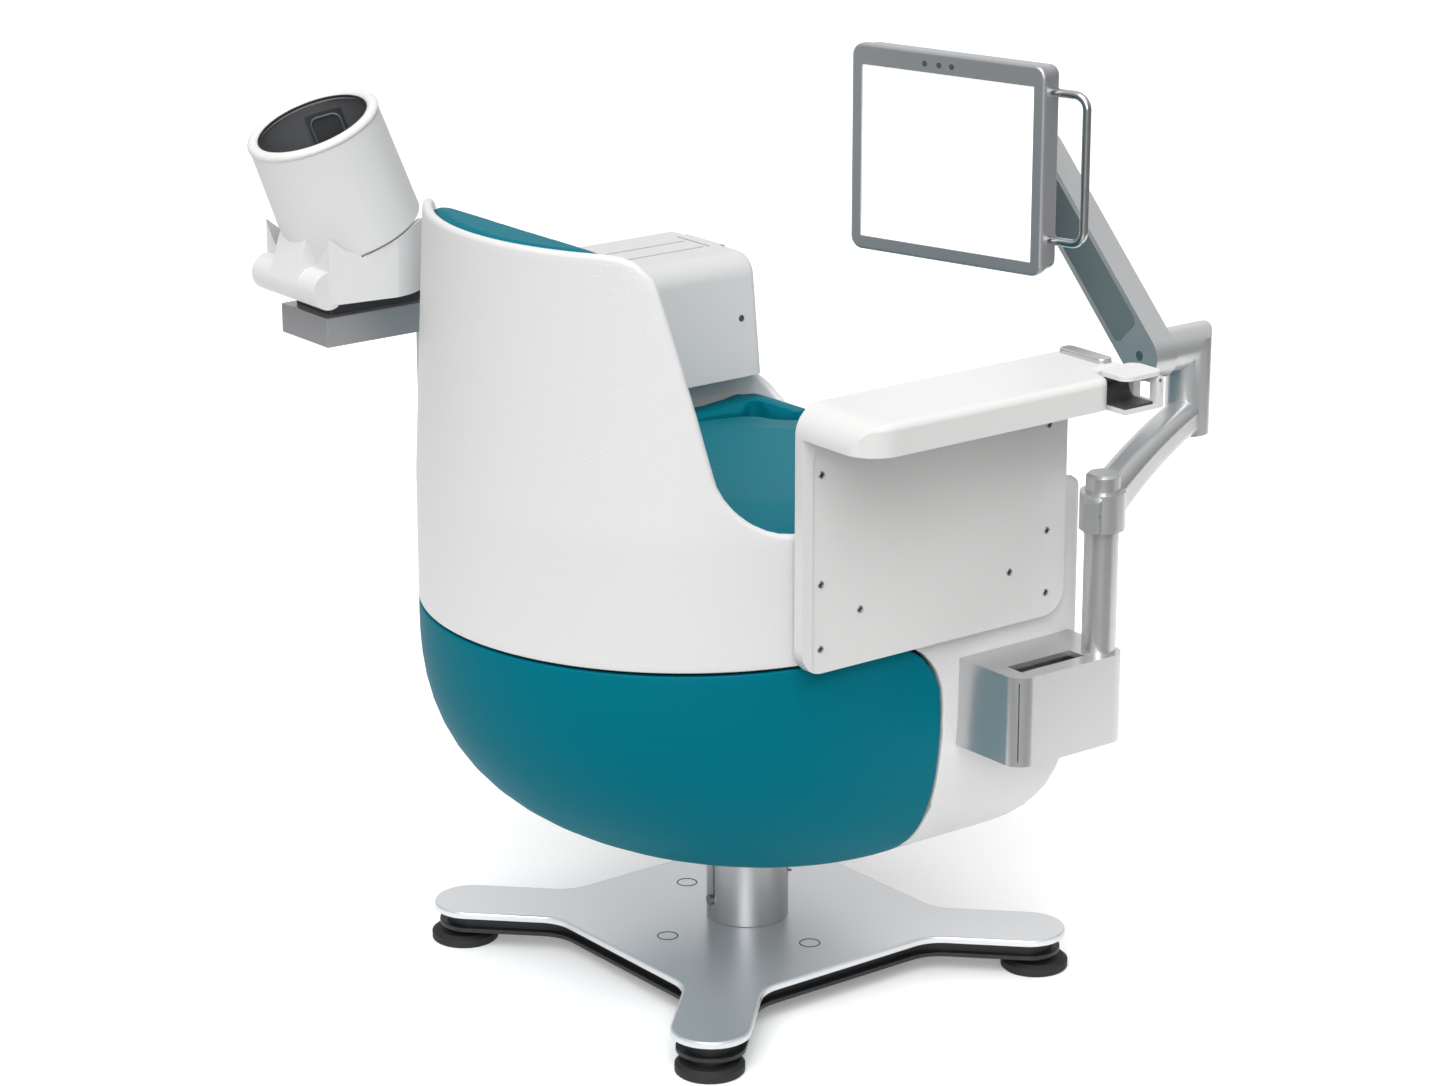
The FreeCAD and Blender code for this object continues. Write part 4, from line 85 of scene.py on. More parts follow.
# Cuff: its hinge, how far it leans back, its axis in front of the hinge, its upper end and its radius there.
CUFF_HINGE, CUFF_LEAN, CUFF_AXIS = (0.382, 0.368, 0.812), math.radians(-22), -0.092
CUFF_TOP, CUFF_RADIUS = 0.158, 0.079
# Rolled lip: how far its middle lies inside the radius, half its width and half its height.
LIP_INSET, LIP_WIDE, LIP_TALL = 0.0055, 0.0070, 0.0055
# Ring seal inside the lip: how far it lies inside the radius and over the end, and its thickness.
SEAL_INSET, SEAL_RISE, SEAL_RADIUS = 0.0125, 0.0008, 0.0016

# Bead round the pad in the cuff: distance from the cuff's axis, half width, lower and upper end, corners,
# thickness and the number of points round it.
BEAD_REACH, BEAD_HALF, BEAD_ENDS, BEAD_CORNER = 0.0668, 0.0185, (0.038, 0.138), 0.009
BEAD_RADIUS, BEAD_POINTS = 0.0014, 10
# The pad sits this far round toward the outer side of the cuff.
PAD_TURN = math.radians(50)

# Console: the screw in its inner face as (y, z) and the level of its top, and there the middles of the two
# grooves, their front and rear ends, width and depth, and the paper slot as (inner, outer, front, rear).
CONSOLE_SCREW, CONSOLE_TOP = (-0.198, 0.703), 0.780
GROOVES, GROOVE_ENDS, GROOVE_WIDTH, GROOVE_DEPTH = (0.342, 0.381), (-0.196, 0.104), 0.004, 0.0025
PAPER_SLOT = (0.339, 0.407, -0.206, -0.202)
# Beds of painted shade: how far under the top they lie and how thick they are, in a groove as shares of its
# depth.
GROOVE_BED_DROP, GROOVE_BED_THICK = 0.6, 0.4
SLOT_BED_DROP, SLOT_BED_THICK = 0.002, 0.001
# Half profile of the screw's head as (radius, height), with a hole for the key.
SCREW_HEAD = ((0.0, 0.0002), (0.0016, 0.0002), (0.0018, 0.0016), (0.0030, 0.0014), (0.0042, 0.0),
              (0.0042, -0.002), (0.0, -0.002))

# Armrest: inner side of its panel, its rear end and its top, the roll of the end into the panel's border,
# and the degrees between the cuts that make the roll.
ARMREST_INNER, ARMREST_REAR, ARMREST_TOP, ARMREST_ROLL = -0.3105, 0.179, 0.780, 0.034
ROLL_STEP = 6

# Bolt caps in the base plate: their middles, radius and level, and half the width and height of the black
# ring round each, painted shade of the gap round the cap.
CAP_PLACES, CAP_RADIUS, PLATE_TOP = ((0.120, 0.0), (0.0, 0.120), (-0.120, 0.0)), 0.012, 0.050
RING_WIDE, RING_TALL = 0.0007, 0.0005

# Upholstery: above a level, the height of the seat's and linings' covers is multiplied, up to a top, and the
# back's cover keeps a share of its thickness at the upper of two levels and all of it at the lower.
SEAT_FILL, LINING_FILL = (0.520, 1.5, 0.604), (0.560, 0.7, 0.630)
BACK_THIN, BACK_THIN_LEVELS = 0.62, (0.64, 0.80)
CLOTH_QUALITY = 4
# Rounding of the edges of the seat pan and frame.
PAN_EDGE = 0.0008

# Floor: widths over which its painted light fades out in front and at the sides, its paleness in painted
# shade and in the painted light, and the glow painted on it in the light.
FRONT_FADE, SIDE_FADE = 0.3, 0.5
FLOOR_PAINTED_SHADE, FLOOR_PALE, FLOOR_PAINTED_GLOW = 0.12, 0.905, 0.18
# Room: brightness at the horizon and overhead, the sine of the height where the upper one is reached,
# brightness that the wall behind the chair adds, and the cosines off its middle between which that comes in.
ROOM_LOW, ROOM_HIGH, ROOM_CLIMB = 0.4, 1.4, 0.9
WALL_GLOW, WALL_EDGE, WALL_MIDDLE = 1.3, 0.5, 0.95
# Lights: where each shines from and how wide it looks, in degrees.
OVERHEAD_SPOT, OVERHEAD_SPREAD = (-1.3, 1.4, 2.3), 50.0
FRONT_SPOT, FRONT_SPREAD = (-3.3, 2.9, 1.1), 30.0
SENSOR = 36.0


def linear(code):
    """Linear colour of an sRGB hex code."""
    parts = [int(code[i:i + 2], 16) / 255 for i in (1, 3, 5)]
    return tuple(c / 12.92 if c <= 0.04045 else ((c + 0.055) / 1.055) ** 2.4 for c in parts) + (1.0,)


class ChairFinishSettings(bpy.types.PropertyGroup):
    """Colours of the large surfaces"""
    shell: bpy.props.FloatVectorProperty(
        name="Shell Colour", description="Colour of the upper shell and the cuff", default=linear("#d2d2d2"),
        size=4, min=0.0, max=1.0, subtype="COLOR")
    cover: bpy.props.FloatVectorProperty(
        name="Cover Colour", description="Colour of the lower cover", default=linear("#006878"), size=4,
        min=0.0, max=1.0, subtype="COLOR")
    vinyl: bpy.props.FloatVectorProperty(
        name="Upholstery Colour", description="Colour of the cushions and linings", default=linear("#046a79"),
        size=4, min=0.0, max=1.0, subtype="COLOR")


class ChairShellSettings(bpy.types.PropertyGroup):
    """Rounding of the shells and the moulded and machined pieces"""
    lip: bpy.props.FloatProperty(
        name="Rim Radius", description="Rounding of the open rims of the shells", default=0.006, min=0.001,
        max=0.006, unit="LENGTH")
    seam: bpy.props.FloatProperty(
        name="Seam Radius", description="Rounding of the edges along the seam", default=0.0018, min=0.0005,
        max=0.004, unit="LENGTH")
    edge: bpy.props.FloatProperty(
        name="Edge Radius", description="Rounding of the edges of moulded and machined pieces",
        default=0.0012, min=0.0002, max=0.004, unit="LENGTH")


class ChairCushionSettings(bpy.types.PropertyGroup):
    """How the covers of the cushions are filled"""
    voxel: bpy.props.FloatProperty(
        name="Cloth Cell", description="Size of the cloth cells of a cushion cover", default=0.006, min=0.004,
        max=0.012, unit="LENGTH")
    shrink: bpy.props.FloatProperty(
        name="Start Smaller", description="How far inside the solid the cover starts", default=0.004, min=0.0,
        max=0.02, unit="LENGTH")
    pressure: bpy.props.FloatProperty(
        name="Filling Pressure", description="Pressure of the foam against the cover", default=4.0, min=0.0,
        max=20.0)
    frames: bpy.props.IntProperty(
        name="Frames", description="Frames the cover takes to settle", default=20, min=2, max=60)
    most: bpy.props.FloatProperty(
        name="Largest Move", description="The cover moves no further than this", default=0.006, min=0.001,
        max=0.03, unit="LENGTH")


class ChairStageSettings(bpy.types.PropertyGroup):
    """Camera, lights and floor"""
    camera: bpy.props.FloatVectorProperty(
        name="Camera", description="Where the camera stands", default=(-3.551, 2.779, 1.920), size=3,
        subtype="TRANSLATION", unit="LENGTH")
    heading: bpy.props.FloatProperty(
        name="Heading", description="Camera turned from +X toward -Y", default=math.radians(37.69),
        subtype="ANGLE")
    pitch: bpy.props.FloatProperty(
        name="Pitch", description="Camera tipped down", default=math.radians(17.3), subtype="ANGLE")
    lens: bpy.props.FloatProperty(
        name="Lens", description="Focal length on a 36 mm sensor", default=100.3, unit="CAMERA")
    daylight: bpy.props.FloatProperty(
        name="Room Light", description="Strength of the light of the room", default=0.5, min=0.0, max=3.0)
    overhead: bpy.props.FloatProperty(
        name="Overhead Light", description="Strength of the wide light above the chair", default=2.6, min=0.0,
        max=20.0)
    front: bpy.props.FloatProperty(
        name="Front Light", description="Strength of the light near the camera", default=1.1, min=0.0,
        max=20.0)
    # The lit floor is painted light: paler colour and a painted glow, with painted shade round it.
    near: bpy.props.FloatProperty(
        name="Lit Floor Before", description="How far the lit floor reaches toward the camera", default=0.44,
        unit="LENGTH")
    wide: bpy.props.FloatProperty(
        name="Lit Floor Half Width", description="Half the width of the lit floor", default=2.6,
        unit="LENGTH")
    floor: bpy.props.FloatProperty(
        name="Floor Half Width", description="Half the width of the floor", default=14.0, unit="LENGTH")


def add(tree, kind, sockets=None, **settings):
    """Add a node with its settings; a socket takes a value or another node's output."""
    made = tree.nodes.new(kind)
    for name, value in settings.items():
        setattr(made, name, value)
    for name, value in (sockets or {}).items():
        if isinstance(value, bpy.types.NodeSocket):
            tree.links.new(value, made.inputs[name])
        else:
            made.inputs[name].default_value = value
    return made


def material(name, colour, roughness, metallic=0.0, grain=None, mottle=0.0, **sockets):
    """A shader with plain values, a bump of a given grain size in metres and a faint mottle of the gloss.

    colour is linear; grain is (kind, size, depth, stretch): kind is noise or cells, and stretch lengthens the
    grain along X, Y, Z.
    """
    made = bpy.data.materials.new(name)
    made.use_nodes = True
    tree = made.node_tree
    tree.nodes.clear()
    values = {"Base Color": colour, "Roughness": roughness, "Metallic": metallic}
    values.update(sockets)
    shader = add(tree, "ShaderNodeBsdfPrincipled", values)
    add(tree, "ShaderNodeOutputMaterial", {"Surface": shader.outputs["BSDF"]})
    if grain:
        kind, size, depth, stretch = grain
        place = add(tree, "ShaderNodeTexCoord")
        scaled = add(tree, "ShaderNodeMapping", {"Vector": place.outputs["Object"],
                                                 "Scale": [1 / size / part for part in stretch]})
        if kind == "cells":
            pattern = add(tree, "ShaderNodeTexVoronoi", {"Vector": scaled.outputs["Vector"], "Scale": 1.0},
                          feature="SMOOTH_F1").outputs["Distance"]
        else:
            pattern = add(tree, "ShaderNodeTexNoise", {"Vector": scaled.outputs["Vector"], "Scale": 1.0,
                                                       "Detail": 2.0}).outputs["Fac"]
        bump = add(tree, "ShaderNodeBump", {"Height": pattern, "Distance": depth, "Strength": 1.0})
        tree.links.new(bump.outputs["Normal"], shader.inputs["Normal"])
        if mottle:
            spread = add(tree, "ShaderNodeMapRange", {"Value": pattern, "To Min": roughness - mottle,
                                                      "To Max": roughness + mottle})
            tree.links.new(spread.outputs["Result"], shader.inputs["Roughness"])
    return made


def build_materials(finish):
    """All finishes. Grain finer than about a millimetre is drawn coarser than life, so that it shows here."""
    even = (1, 1, 1)
    return {
        # Moulded in a spark-eroded tool: a dry, even grain that spreads highlights. Real grain is 0.3 mm.
        "white": material("Spark-eroded white ABS", tuple(finish.shell), 0.46,
                          grain=("cells", 0.0028, 0.0002, even)),
        # Smooth mouldings from a polished tool: a soft sheen with no grain.
        "gloss_white": material("Semi-gloss white ABS", linear("#d4d4d3"), 0.44,
                                **{"Specular IOR Level": 0.3}),
        # The console is the shell's white greyed as painted shade, so its sides read darker than the shell's.
        "console_painted_shade": material("Semi-gloss white ABS greyed as painted shade", linear("#c6c6c6"), 0.44,
                                  **{"Specular IOR Level": 0.3}),
        # Same texture as the white shell in a dyed resin, so the curves show as slow gradients.
        "teal": material("Spark-eroded teal ABS", tuple(finish.cover), 0.5,
                         grain=("cells", 0.0036, 0.0002, even), **{"Specular IOR Level": 0.04}),
        # Coated cloth with a pressed leather grain: broken highlights on the soft curves.
        "vinyl": material("Embossed teal vinyl", tuple(finish.vinyl), 0.5,
                          grain=("cells", 0.004, 0.0004, even), **{"Specular IOR Level": 0.06}),
        # Bead blasting breaks the reflections into an even satin.
        "satin": material("Bead-blasted anodised aluminium", linear("#aeafb1"), 0.36, 0.65,
                          grain=("noise", 0.0012, 0.00003, even), mottle=0.04),
        # Sprayed and baked metallic lacquer: paler than bare metal, with a soft sheen under a fine grain.
        "silver": material("Baked silver lacquer", linear("#d2d3d5"), 0.3, 0.6,
                           grain=("noise", 0.0016, 0.00003, even)),
        # Brushed along the length: long soft streaks in the reflections. Real scratches are near 0.05 mm.
        "brushed": material("Brushed stainless steel", linear("#c8c8c9"), 0.3, 0.75,
                            grain=("noise", 0.0011, 0.00003, (60, 1, 1)), mottle=0.05),
        # Cast and tumbled: smooth with slightly uneven reflections.
        "cast": material("Tumbled cast aluminium", linear("#c4c5c6"), 0.3, 0.7,
                         grain=("noise", 0.006, 0.00006, even)),
        # Drawn and polished: clear, narrow bands of light along the handle.
        "tube": material("Polished stainless tube", linear("#c6c7c8"), 0.26, 1.0),
        # Sprayed powder flows into a faint orange peel.
        "powder": material("Black powder coat", linear("#101112"), 0.5,
                           grain=("noise", 0.0022, 0.00008, even)),
        # Moulded without a polish: a dull black that hardly shows a highlight.
        "rubber": material("Moulded black rubber", linear("#121213"), 0.72,
                           grain=("noise", 0.0016, 0.00006, even)),
        # Dark resin in the same kind of tool as the shell: a soft grey sheen on the edges.
        "dark": material("Spark-eroded charcoal ABS", linear("#3b3d3f"), 0.42,
                         grain=("cells", 0.0014, 0.00008, even)),
        # Plain moulding in mid grey, so the inside of the cuff stays readable.
        "liner": material("Moulded dark grey ABS", linear("#56585b"), 0.5,
                          grain=("noise", 0.002, 0.0001, even)),
        # Extruded and matt, black as painted shade of the gap: the joint reads as a black line.
        "seam": material("Black seam strip as painted shade of the gap", linear("#0d0e0f"), 0.7),
        # Tinted resin with a fine grain: a cool, flat grey between the metal edges of the arm.
        "panel": material("Grey-green moulded ABS", linear("#627071"), 0.42,
                          grain=("cells", 0.0014, 0.00006, even)),
        # A lit display with nothing on it: even white with a clear glossy face.
        "display": material("Lit white display glass", linear("#eef0f1"), 0.12,
                            **{"Emission Color": linear("#fbfcfc"), "Emission Strength": 0.62}),
        # Polished smoked plastic: dark with a sharp highlight.
        "lens": material("Smoked polycarbonate lens", linear("#4a4d50"), 0.1),
        # Bright plating on pins and screws: a slightly blurred metal shine.
        "zinc": material("Zinc-plated steel", linear("#a3a6a8"), 0.34, 1.0),
        # Turned from bar: a warm, waxy white.
        "acetal": material("Turned natural acetal", linear("#dcd9d0"), 0.4),
        # Blackened as painted shade, so that the joints between the cushions read as dark lines.
        "plywood": material("Birch plywood blackened as painted shade", linear("#1d1b19"), 0.5,
                            grain=("noise", 0.004, 0.00008, (1, 14, 1))),
    }


MATERIALS = {}


def paint(thing, finish):
    """Give an object one material in all its slots."""
    thing.data.materials.clear()
    thing.data.materials.append(MATERIALS[finish])


def soften(thing, finish, width, segments=3, angle=38.0, weight=80):
    """Paint an object, round its sharp edges and even out its normals with modifiers."""
    paint(thing, finish)
    weld = thing.modifiers.new("weld", "WELD")
    weld.merge_threshold = SOLID_JOIN
    if width:
        bevel = thing.modifiers.new("edges", "BEVEL")
        bevel.width = width
        bevel.segments = segments
        bevel.limit_method = "ANGLE"
        bevel.angle_limit = math.radians(angle)
    even = thing.modifiers.new("normals", "WEIGHTED_NORMAL")
    even.weight = weight
    return thing


def dress(pairs, width):
    """Paint and soften a list of (finish, nodes)."""
    for finish, nodes in pairs:
        for node in nodes.split():
            soften(NODES[node], finish, width)


def shade_smooth(mesh):
    """Shade all faces of a mesh smooth."""
    mesh.polygons.foreach_set("use_smooth", [True] * len(mesh.polygons))


def piece(name, mesh, finish, body, slot, *nodes):
    """Put a new mesh in the scene as a piece that moves with a body and stands for CAD nodes."""
    thing = bpy.data.objects.new(name, mesh)
    bpy.context.scene.collection.objects.link(thing)
    paint(thing, finish)
    shade_smooth(mesh)
    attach(thing, body)
    if nodes:
        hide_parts(*nodes)
    return thing


def mesh_of(bm, name):
    """Mesh with the content of a bmesh, which is freed."""
    mesh = bpy.data.meshes.new(name)
    bm.to_mesh(mesh)
    bm.free()
    return mesh


def join_rings(bm, rings):
    """Faces between each ring of points and the next, and between the last and the first."""
    for ring, after in zip(rings, rings[1:] + rings[:1]):
        for i in range(len(ring)):
            k = (i + 1) % len(ring)
            bm.faces.new((ring[i], after[i], after[k], ring[k]))


def turned(name, profile, place, count=56):
    """Mesh of a closed profile of (radius, height) turned about the Z axis of a place."""
    bm = bmesh.new()
    rings = []
    for i in range(count):
        turn = 2 * math.pi * i / count
        points = [(radius * math.cos(turn), radius * math.sin(turn), height) for radius, height in profile]
        rings.append([bm.verts.new(place @ Vector(point)) for point in points])
    join_rings(bm, rings)
    bmesh.ops.remove_doubles(bm, verts=bm.verts, dist=MESH_JOIN)
    bmesh.ops.recalc_face_normals(bm, faces=bm.faces)
    return mesh_of(bm, name)


def oval(radius, height, wide, tall, count=20):
    """Oval profile for a turned ring."""
    turns = [2 * math.pi * i / count for i in range(count)]
    return [(radius + wide * math.cos(turn), height + tall * math.sin(turn)) for turn in turns]


def facing(spot, normal):
    """Place at a spot, its Z axis along a normal."""
    return Matrix.Translation(spot) @ Vector(normal).to_track_quat("Z", "Y").to_matrix().to_4x4()


# Tub: a grid of level outlines, cut along its rims and seams and given a wall with rounded lips

def tub_outline(height):
    """Level outline of the tub, once round from the middle of the front."""
    depth = min(max((SHOULDER - height) / (SHOULDER - BOTTOM), 0.0), 1.0)
    drawn_in = TOP_DRAW_IN * max((height - RIM) / (BACK - RIM), 0.0)
    half, rear, front = ((size - inset) * (1 - depth ** power) ** (1 / power) for size, inset, power in (
        (HALF, drawn_in, SIDE_POWER), (REAR, drawn_in, REAR_POWER), (FRONT, 0.0, FRONT_POWER)))
    middle = rear - half
    corner = min(FRONT_CORNER, half * CORNER_SHARE)
    side = [((half - corner) * i / FRONT_STEPS, -front) for i in range(FRONT_STEPS)]
    for i in range(CORNER_STEPS):
        turn = math.pi / 2 * i / CORNER_STEPS
        side.append((half - corner + corner * math.sin(turn), corner - front - corner * math.cos(turn)))
    length = middle - corner + front
    side += [(half, corner - front + length * i / SIDE_STEPS) for i in range(SIDE_STEPS)]
    for i in range(REAR_STEPS + 1):
        turn = math.pi / 2 * i / REAR_STEPS
        side.append((half * math.cos(turn), middle + half * math.sin(turn)))
    return [Vector((x, y, height)) for x, y in side] + [Vector((-x, y, height)) for x, y in side[-2:0:-1]]


def tub_grid():
    """Surface of the whole tub as a bmesh, closed below."""
    heights = [SHOULDER - (SHOULDER - BOTTOM) * math.sin(step * math.pi / 2) for step in HULL_STEPS]
    heights += [SHOULDER + (BACK + TOP_SPARE - SHOULDER) * i / WALL_ROWS for i in range(WALL_ROWS + 1)]
    bm = bmesh.new()
    rows = [[bm.verts.new(point) for point in tub_outline(height)] for height in heights]
    centre = bm.verts.new((0, BOTTOM_MIDDLE, heights[0]))
    count = len(rows[0])
    for i in range(count):
        bm.faces.new((rows[0][(i + 1) % count], rows[0][i], centre))
        for low, high in zip(rows, rows[1:]):
            bm.faces.new((low[i], low[(i + 1) % count], high[(i + 1) % count], high[i]))
    bm.normal_update()
    return bm


def round_corner(a, b, radius):
    """Distance inside a corner of two planes, the corner rounded."""
    if a < radius and b < radius:
        return radius - math.hypot(radius - a, radius - b)
    return min(a, b)


def below_rim(p):
    """Distance under the outline of the back, its wing edge and the side rims."""
    side = round_corner(RIM - p.z, p.y + FRONT + FRONT_CLEAR, FRONT_ROUND)
    slope = (WING_TOP - WING_LOW) / (BACK - RIM)
    wing = (p.y - WING_LOW - slope * (p.z - RIM)) / math.hypot(1, slope)
    back = round_corner(wing, BACK - p.z, WING_ROUND)
    return -round_corner(-side, -back, NOTCH_ROUND)


def outside_opening(p):
    """Distance outside the opening for the legs."""
    inside = round_corner(SILL_HALF - abs(p.x), p.z - SILL, SILL_ROUND)
    return -min(inside, SILL_DEEP - p.y)


def in_cover(p):
    """Distance inside the outline of the lower cover."""
    return round_corner(SPLIT - p.z, p.y + SPLIT_FRONT, SPLIT_ROUND)


def above_seam(p):
    """Distance inside the upper shell from its edge along the seam."""
    return -in_cover(p) - SPLIT_GAP / 2


def below_seam(p):
    """Distance inside the lower cover from its edge along the seam."""
    return in_cover(p) - SPLIT_GAP / 2


def off_column(p):
    """Distance outside the hole for the column."""
    return math.hypot(p.x, p.y) - COLUMN_HOLE


def trim(bm, field):
    """Cut a surface along the zero line of a field and drop the side where it is negative."""
    values = {v: field(v.co) for v in bm.verts}
    for edge in list(bm.edges):
        a, b = edge.verts
        if values[a] * values[b] < 0:
            made = bmesh.utils.edge_split(edge, a, values[a] / (values[a] - values[b]))[1]
            values[made] = 0.0
    for face in list(bm.faces):
        on = [v for v in face.verts if values[v] == 0]
        signs = {values[v] > 0 for v in face.verts if values[v] != 0}
        if len(on) == 2 and len(signs) == 2:
            bmesh.utils.face_split(face, on[0], on[1])
    doomed = [face for face in bm.faces if any(values[v] < 0 for v in face.verts)]
    bmesh.ops.delete(bm, geom=doomed, context="FACES")


def shell_mesh(name, cuts):
    """Trimmed tub with a wall and rounded lips, from cuts of (field, lip radius)."""
    bm = tub_grid()
    for field, radius in cuts:
        trim(bm, lambda p: field(p) - radius)
    bmesh.ops.remove_doubles(bm, verts=bm.verts, dist=SLIVER)
    bm.normal_update()
    edge_of = {}
    for edge in bm.edges:
        if edge.is_boundary:
            for v in edge.verts:
                edge_of.setdefault(v, []).append(edge)
    outer = list(bm.faces)
    normals = {v: v.normal.copy() for v in bm.verts}
    inner = {v: bm.verts.new(v.co - normals[v] * WALL) for v in list(bm.verts)}
    lips = {v: lip_points(v, edges, normals[v], cuts) for v, edges in edge_of.items()}
    lips = {v: [v] + [bm.verts.new(point) for point in points] + [inner[v]] for v, points in lips.items()}
    rims = []
    for edge in {edge for edges in edge_of.values() for edge in edges}:
        loop = edge.link_loops[0]
        rims.append((loop.vert, loop.link_loop_next.vert))
    for face in outer:
        bm.faces.new([inner[v] for v in reversed(face.verts)])
    for start, end in rims:
        for i in range(len(lips[start]) - 1):
            bm.faces.new((lips[end][i], lips[start][i], lips[start][i + 1], lips[end][i + 1]))
    return mesh_of(bm, name)


def lip_points(v, edges, normal, cuts):
    """Points round the lip at one vertex of a rim, from the outside to the inside."""
    radius = min(cuts, key=lambda cut: abs(cut[0](v.co) - cut[1]))[1]
    ends = [edge.other_vert(v).co for edge in edges]
    across = normal.cross(ends[0] - ends[-1])
    across.normalize()
    inward = sum((edge.link_faces[0].calc_center_median() - v.co for edge in edges), Vector())
    if across.dot(inward) > 0:
        across.negate()
    points = []
    for turn in range(LIP_STEP, 180, LIP_STEP):
        depth = radius if turn <= 90 else WALL - radius
        angle = math.radians(turn)
        out = normal * math.cos(angle) + across * math.sin(angle)
        points.append(v.co - normal * depth + out * radius)
    return points


class CHAIR_OT_tub(bpy.types.Operator):
    """Build the white upper shell and the teal lower cover"""
    bl_idname = "chair.tub"
    bl_label = "Tub"

    def execute(self, context):
        shell = context.scene.chair_shell
        upper = shell_mesh("upper_shell_form", [(below_rim, shell.lip), (outside_opening, shell.lip),
                                                (above_seam, shell.seam), (off_column, shell.seam)])
        piece("tub_upper", upper, "white", "seat", "white_shell", "upper_shell")
        lower = shell_mesh("lower_cover_form", [(below_seam, shell.seam), (off_column, shell.seam)])
        piece("tub_cover", lower, "teal", "seat", "teal_cover", "lower_cover")
        # The strip behind the seam is black as painted shade of the gap.
        soften(NODES["seam_strip"], "seam", 0)
        return {"FINISHED"}


# Cushions

def fill_above(p, level, share, top):
    """Point of a cover, its height above a level multiplied and held under a top."""
    return Vector((p.x, p.y, p.z if p.z < level else min(level + (p.z - level) * share, top)))


def thin_back(p):
    """Point of the back cover, drawn toward the shell behind it, the more the higher it lies."""
    low, high = BACK_THIN_LEVELS
    climb = min(max((p.z - low) / (high - low), 0.0), 1.0)
    inside = HALF - WALL
    behind = REAR - HALF + math.sqrt(max(inside ** 2 - p.x ** 2, 0.0))
    return Vector((p.x, behind - (behind - p.y) * (1 - (1 - BACK_THIN) * climb), p.z))


COVERS = {
    "seat_cushion": lambda p: fill_above(p, *SEAT_FILL),
    "back_cushion": thin_back,
    "right_lining": lambda p: fill_above(p, *LINING_FILL),
    "left_lining": lambda p: fill_above(p, *LINING_FILL),
}


def bake(thing):
    """Replace an object's mesh by what its modifiers make of it."""
    graph = bpy.context.evaluated_depsgraph_get()
    made = bpy.data.meshes.new_from_object(thing.evaluated_get(graph))
    thing.modifiers.clear()
    thing.data = made


def blow_out(thing, settings):
    """Let the pressure of the filling swell a cover, and keep the result as its mesh."""
    cloth = thing.modifiers.new("cloth", "CLOTH")
    cloth.settings.use_pressure = True
    cloth.settings.uniform_pressure_force = settings.pressure
    cloth.settings.effector_weights.gravity = 0.0
    cloth.settings.quality = CLOTH_QUALITY
    cloth.point_cache.frame_start = 1
    cloth.point_cache.frame_end = settings.frames
    for number in range(1, settings.frames + 1):
        bpy.context.scene.frame_set(number)
    bake(thing)
    bpy.context.scene.frame_set(1)


def cushion_cover(name, node):
    """Copy of a soft solid, filled to its form and blown out against its own cloth."""
    settings = bpy.context.scene.chair_cushion
    mesh = NODES[node].data.copy()
    mesh.name = name
    thing = bpy.data.objects.new(name, mesh)
    bpy.context.scene.collection.objects.link(thing)
    remesh = thing.modifiers.new("remesh", "REMESH")
    remesh.mode = "VOXEL"
    remesh.voxel_size = settings.voxel
    bake(thing)
    mesh = thing.data
    start = [COVERS[node](v.co - v.normal * settings.shrink) for v in mesh.vertices]
    for v, co in zip(mesh.vertices, start):
        v.co = co
    blow_out(thing, settings)
    for v, co in zip(thing.data.vertices, start):
        move = v.co - co
        if move.length > settings.most:
            v.co = co + move * (settings.most / move.length)
    smooth = thing.modifiers.new("smooth", "SUBSURF")
    smooth.levels = smooth.render_levels = 1
    bake(thing)
    return thing


class CHAIR_OT_cushions(bpy.types.Operator):
    """Fill the seat and back cushions and the side linings"""
    bl_idname = "chair.cushions"
    bl_label = "Cushions"

    def execute(self, context):
        for node in COVERS:
            thing = cushion_cover(node + "_cover", node)
            paint(thing, "vinyl")
            shade_smooth(thing.data)
            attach(thing, "seat")
            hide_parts(node)
        # The seat pan is black as painted shade in the gaps between the cushions.
        dress([("plywood", "seat_pan"), ("powder", "seat_frame")], PAN_EDGE)
        return {"FINISHED"}


# Armrest and console

def cut_off(bm, spot, out):
    """Cut a solid by a plane, drop what lies outside it and close the cut."""
    parts = bm.verts[:] + bm.edges[:] + bm.faces[:]
    cut = bmesh.ops.bisect_plane(bm, geom=parts, plane_co=spot, plane_no=out, clear_outer=True)["geom_cut"]
    bmesh.ops.holes_fill(bm, edges=[item for item in cut if isinstance(item, bmesh.types.BMEdge)], sides=0)


def armrest_mesh():
    """The armrest flush with its panel inside, its rear end rolled over into the panel's border."""
    bm = bmesh.new()
    bm.from_mesh(NODES["right_armrest"].data)
    bmesh.ops.remove_doubles(bm, verts=bm.verts, dist=SOLID_JOIN)
    cut_off(bm, (ARMREST_INNER, 0, 0), (1, 0, 0))
    middle = Vector((0, ARMREST_REAR - ARMREST_ROLL, ARMREST_TOP - ARMREST_ROLL))
    for turn in range(ROLL_STEP, 90, ROLL_STEP):
        out = Vector((0, math.sin(math.radians(turn)), math.cos(math.radians(turn))))
        cut_off(bm, middle + out * ARMREST_ROLL, out)
    bm.normal_update()
    return mesh_of(bm, "armrest_form")


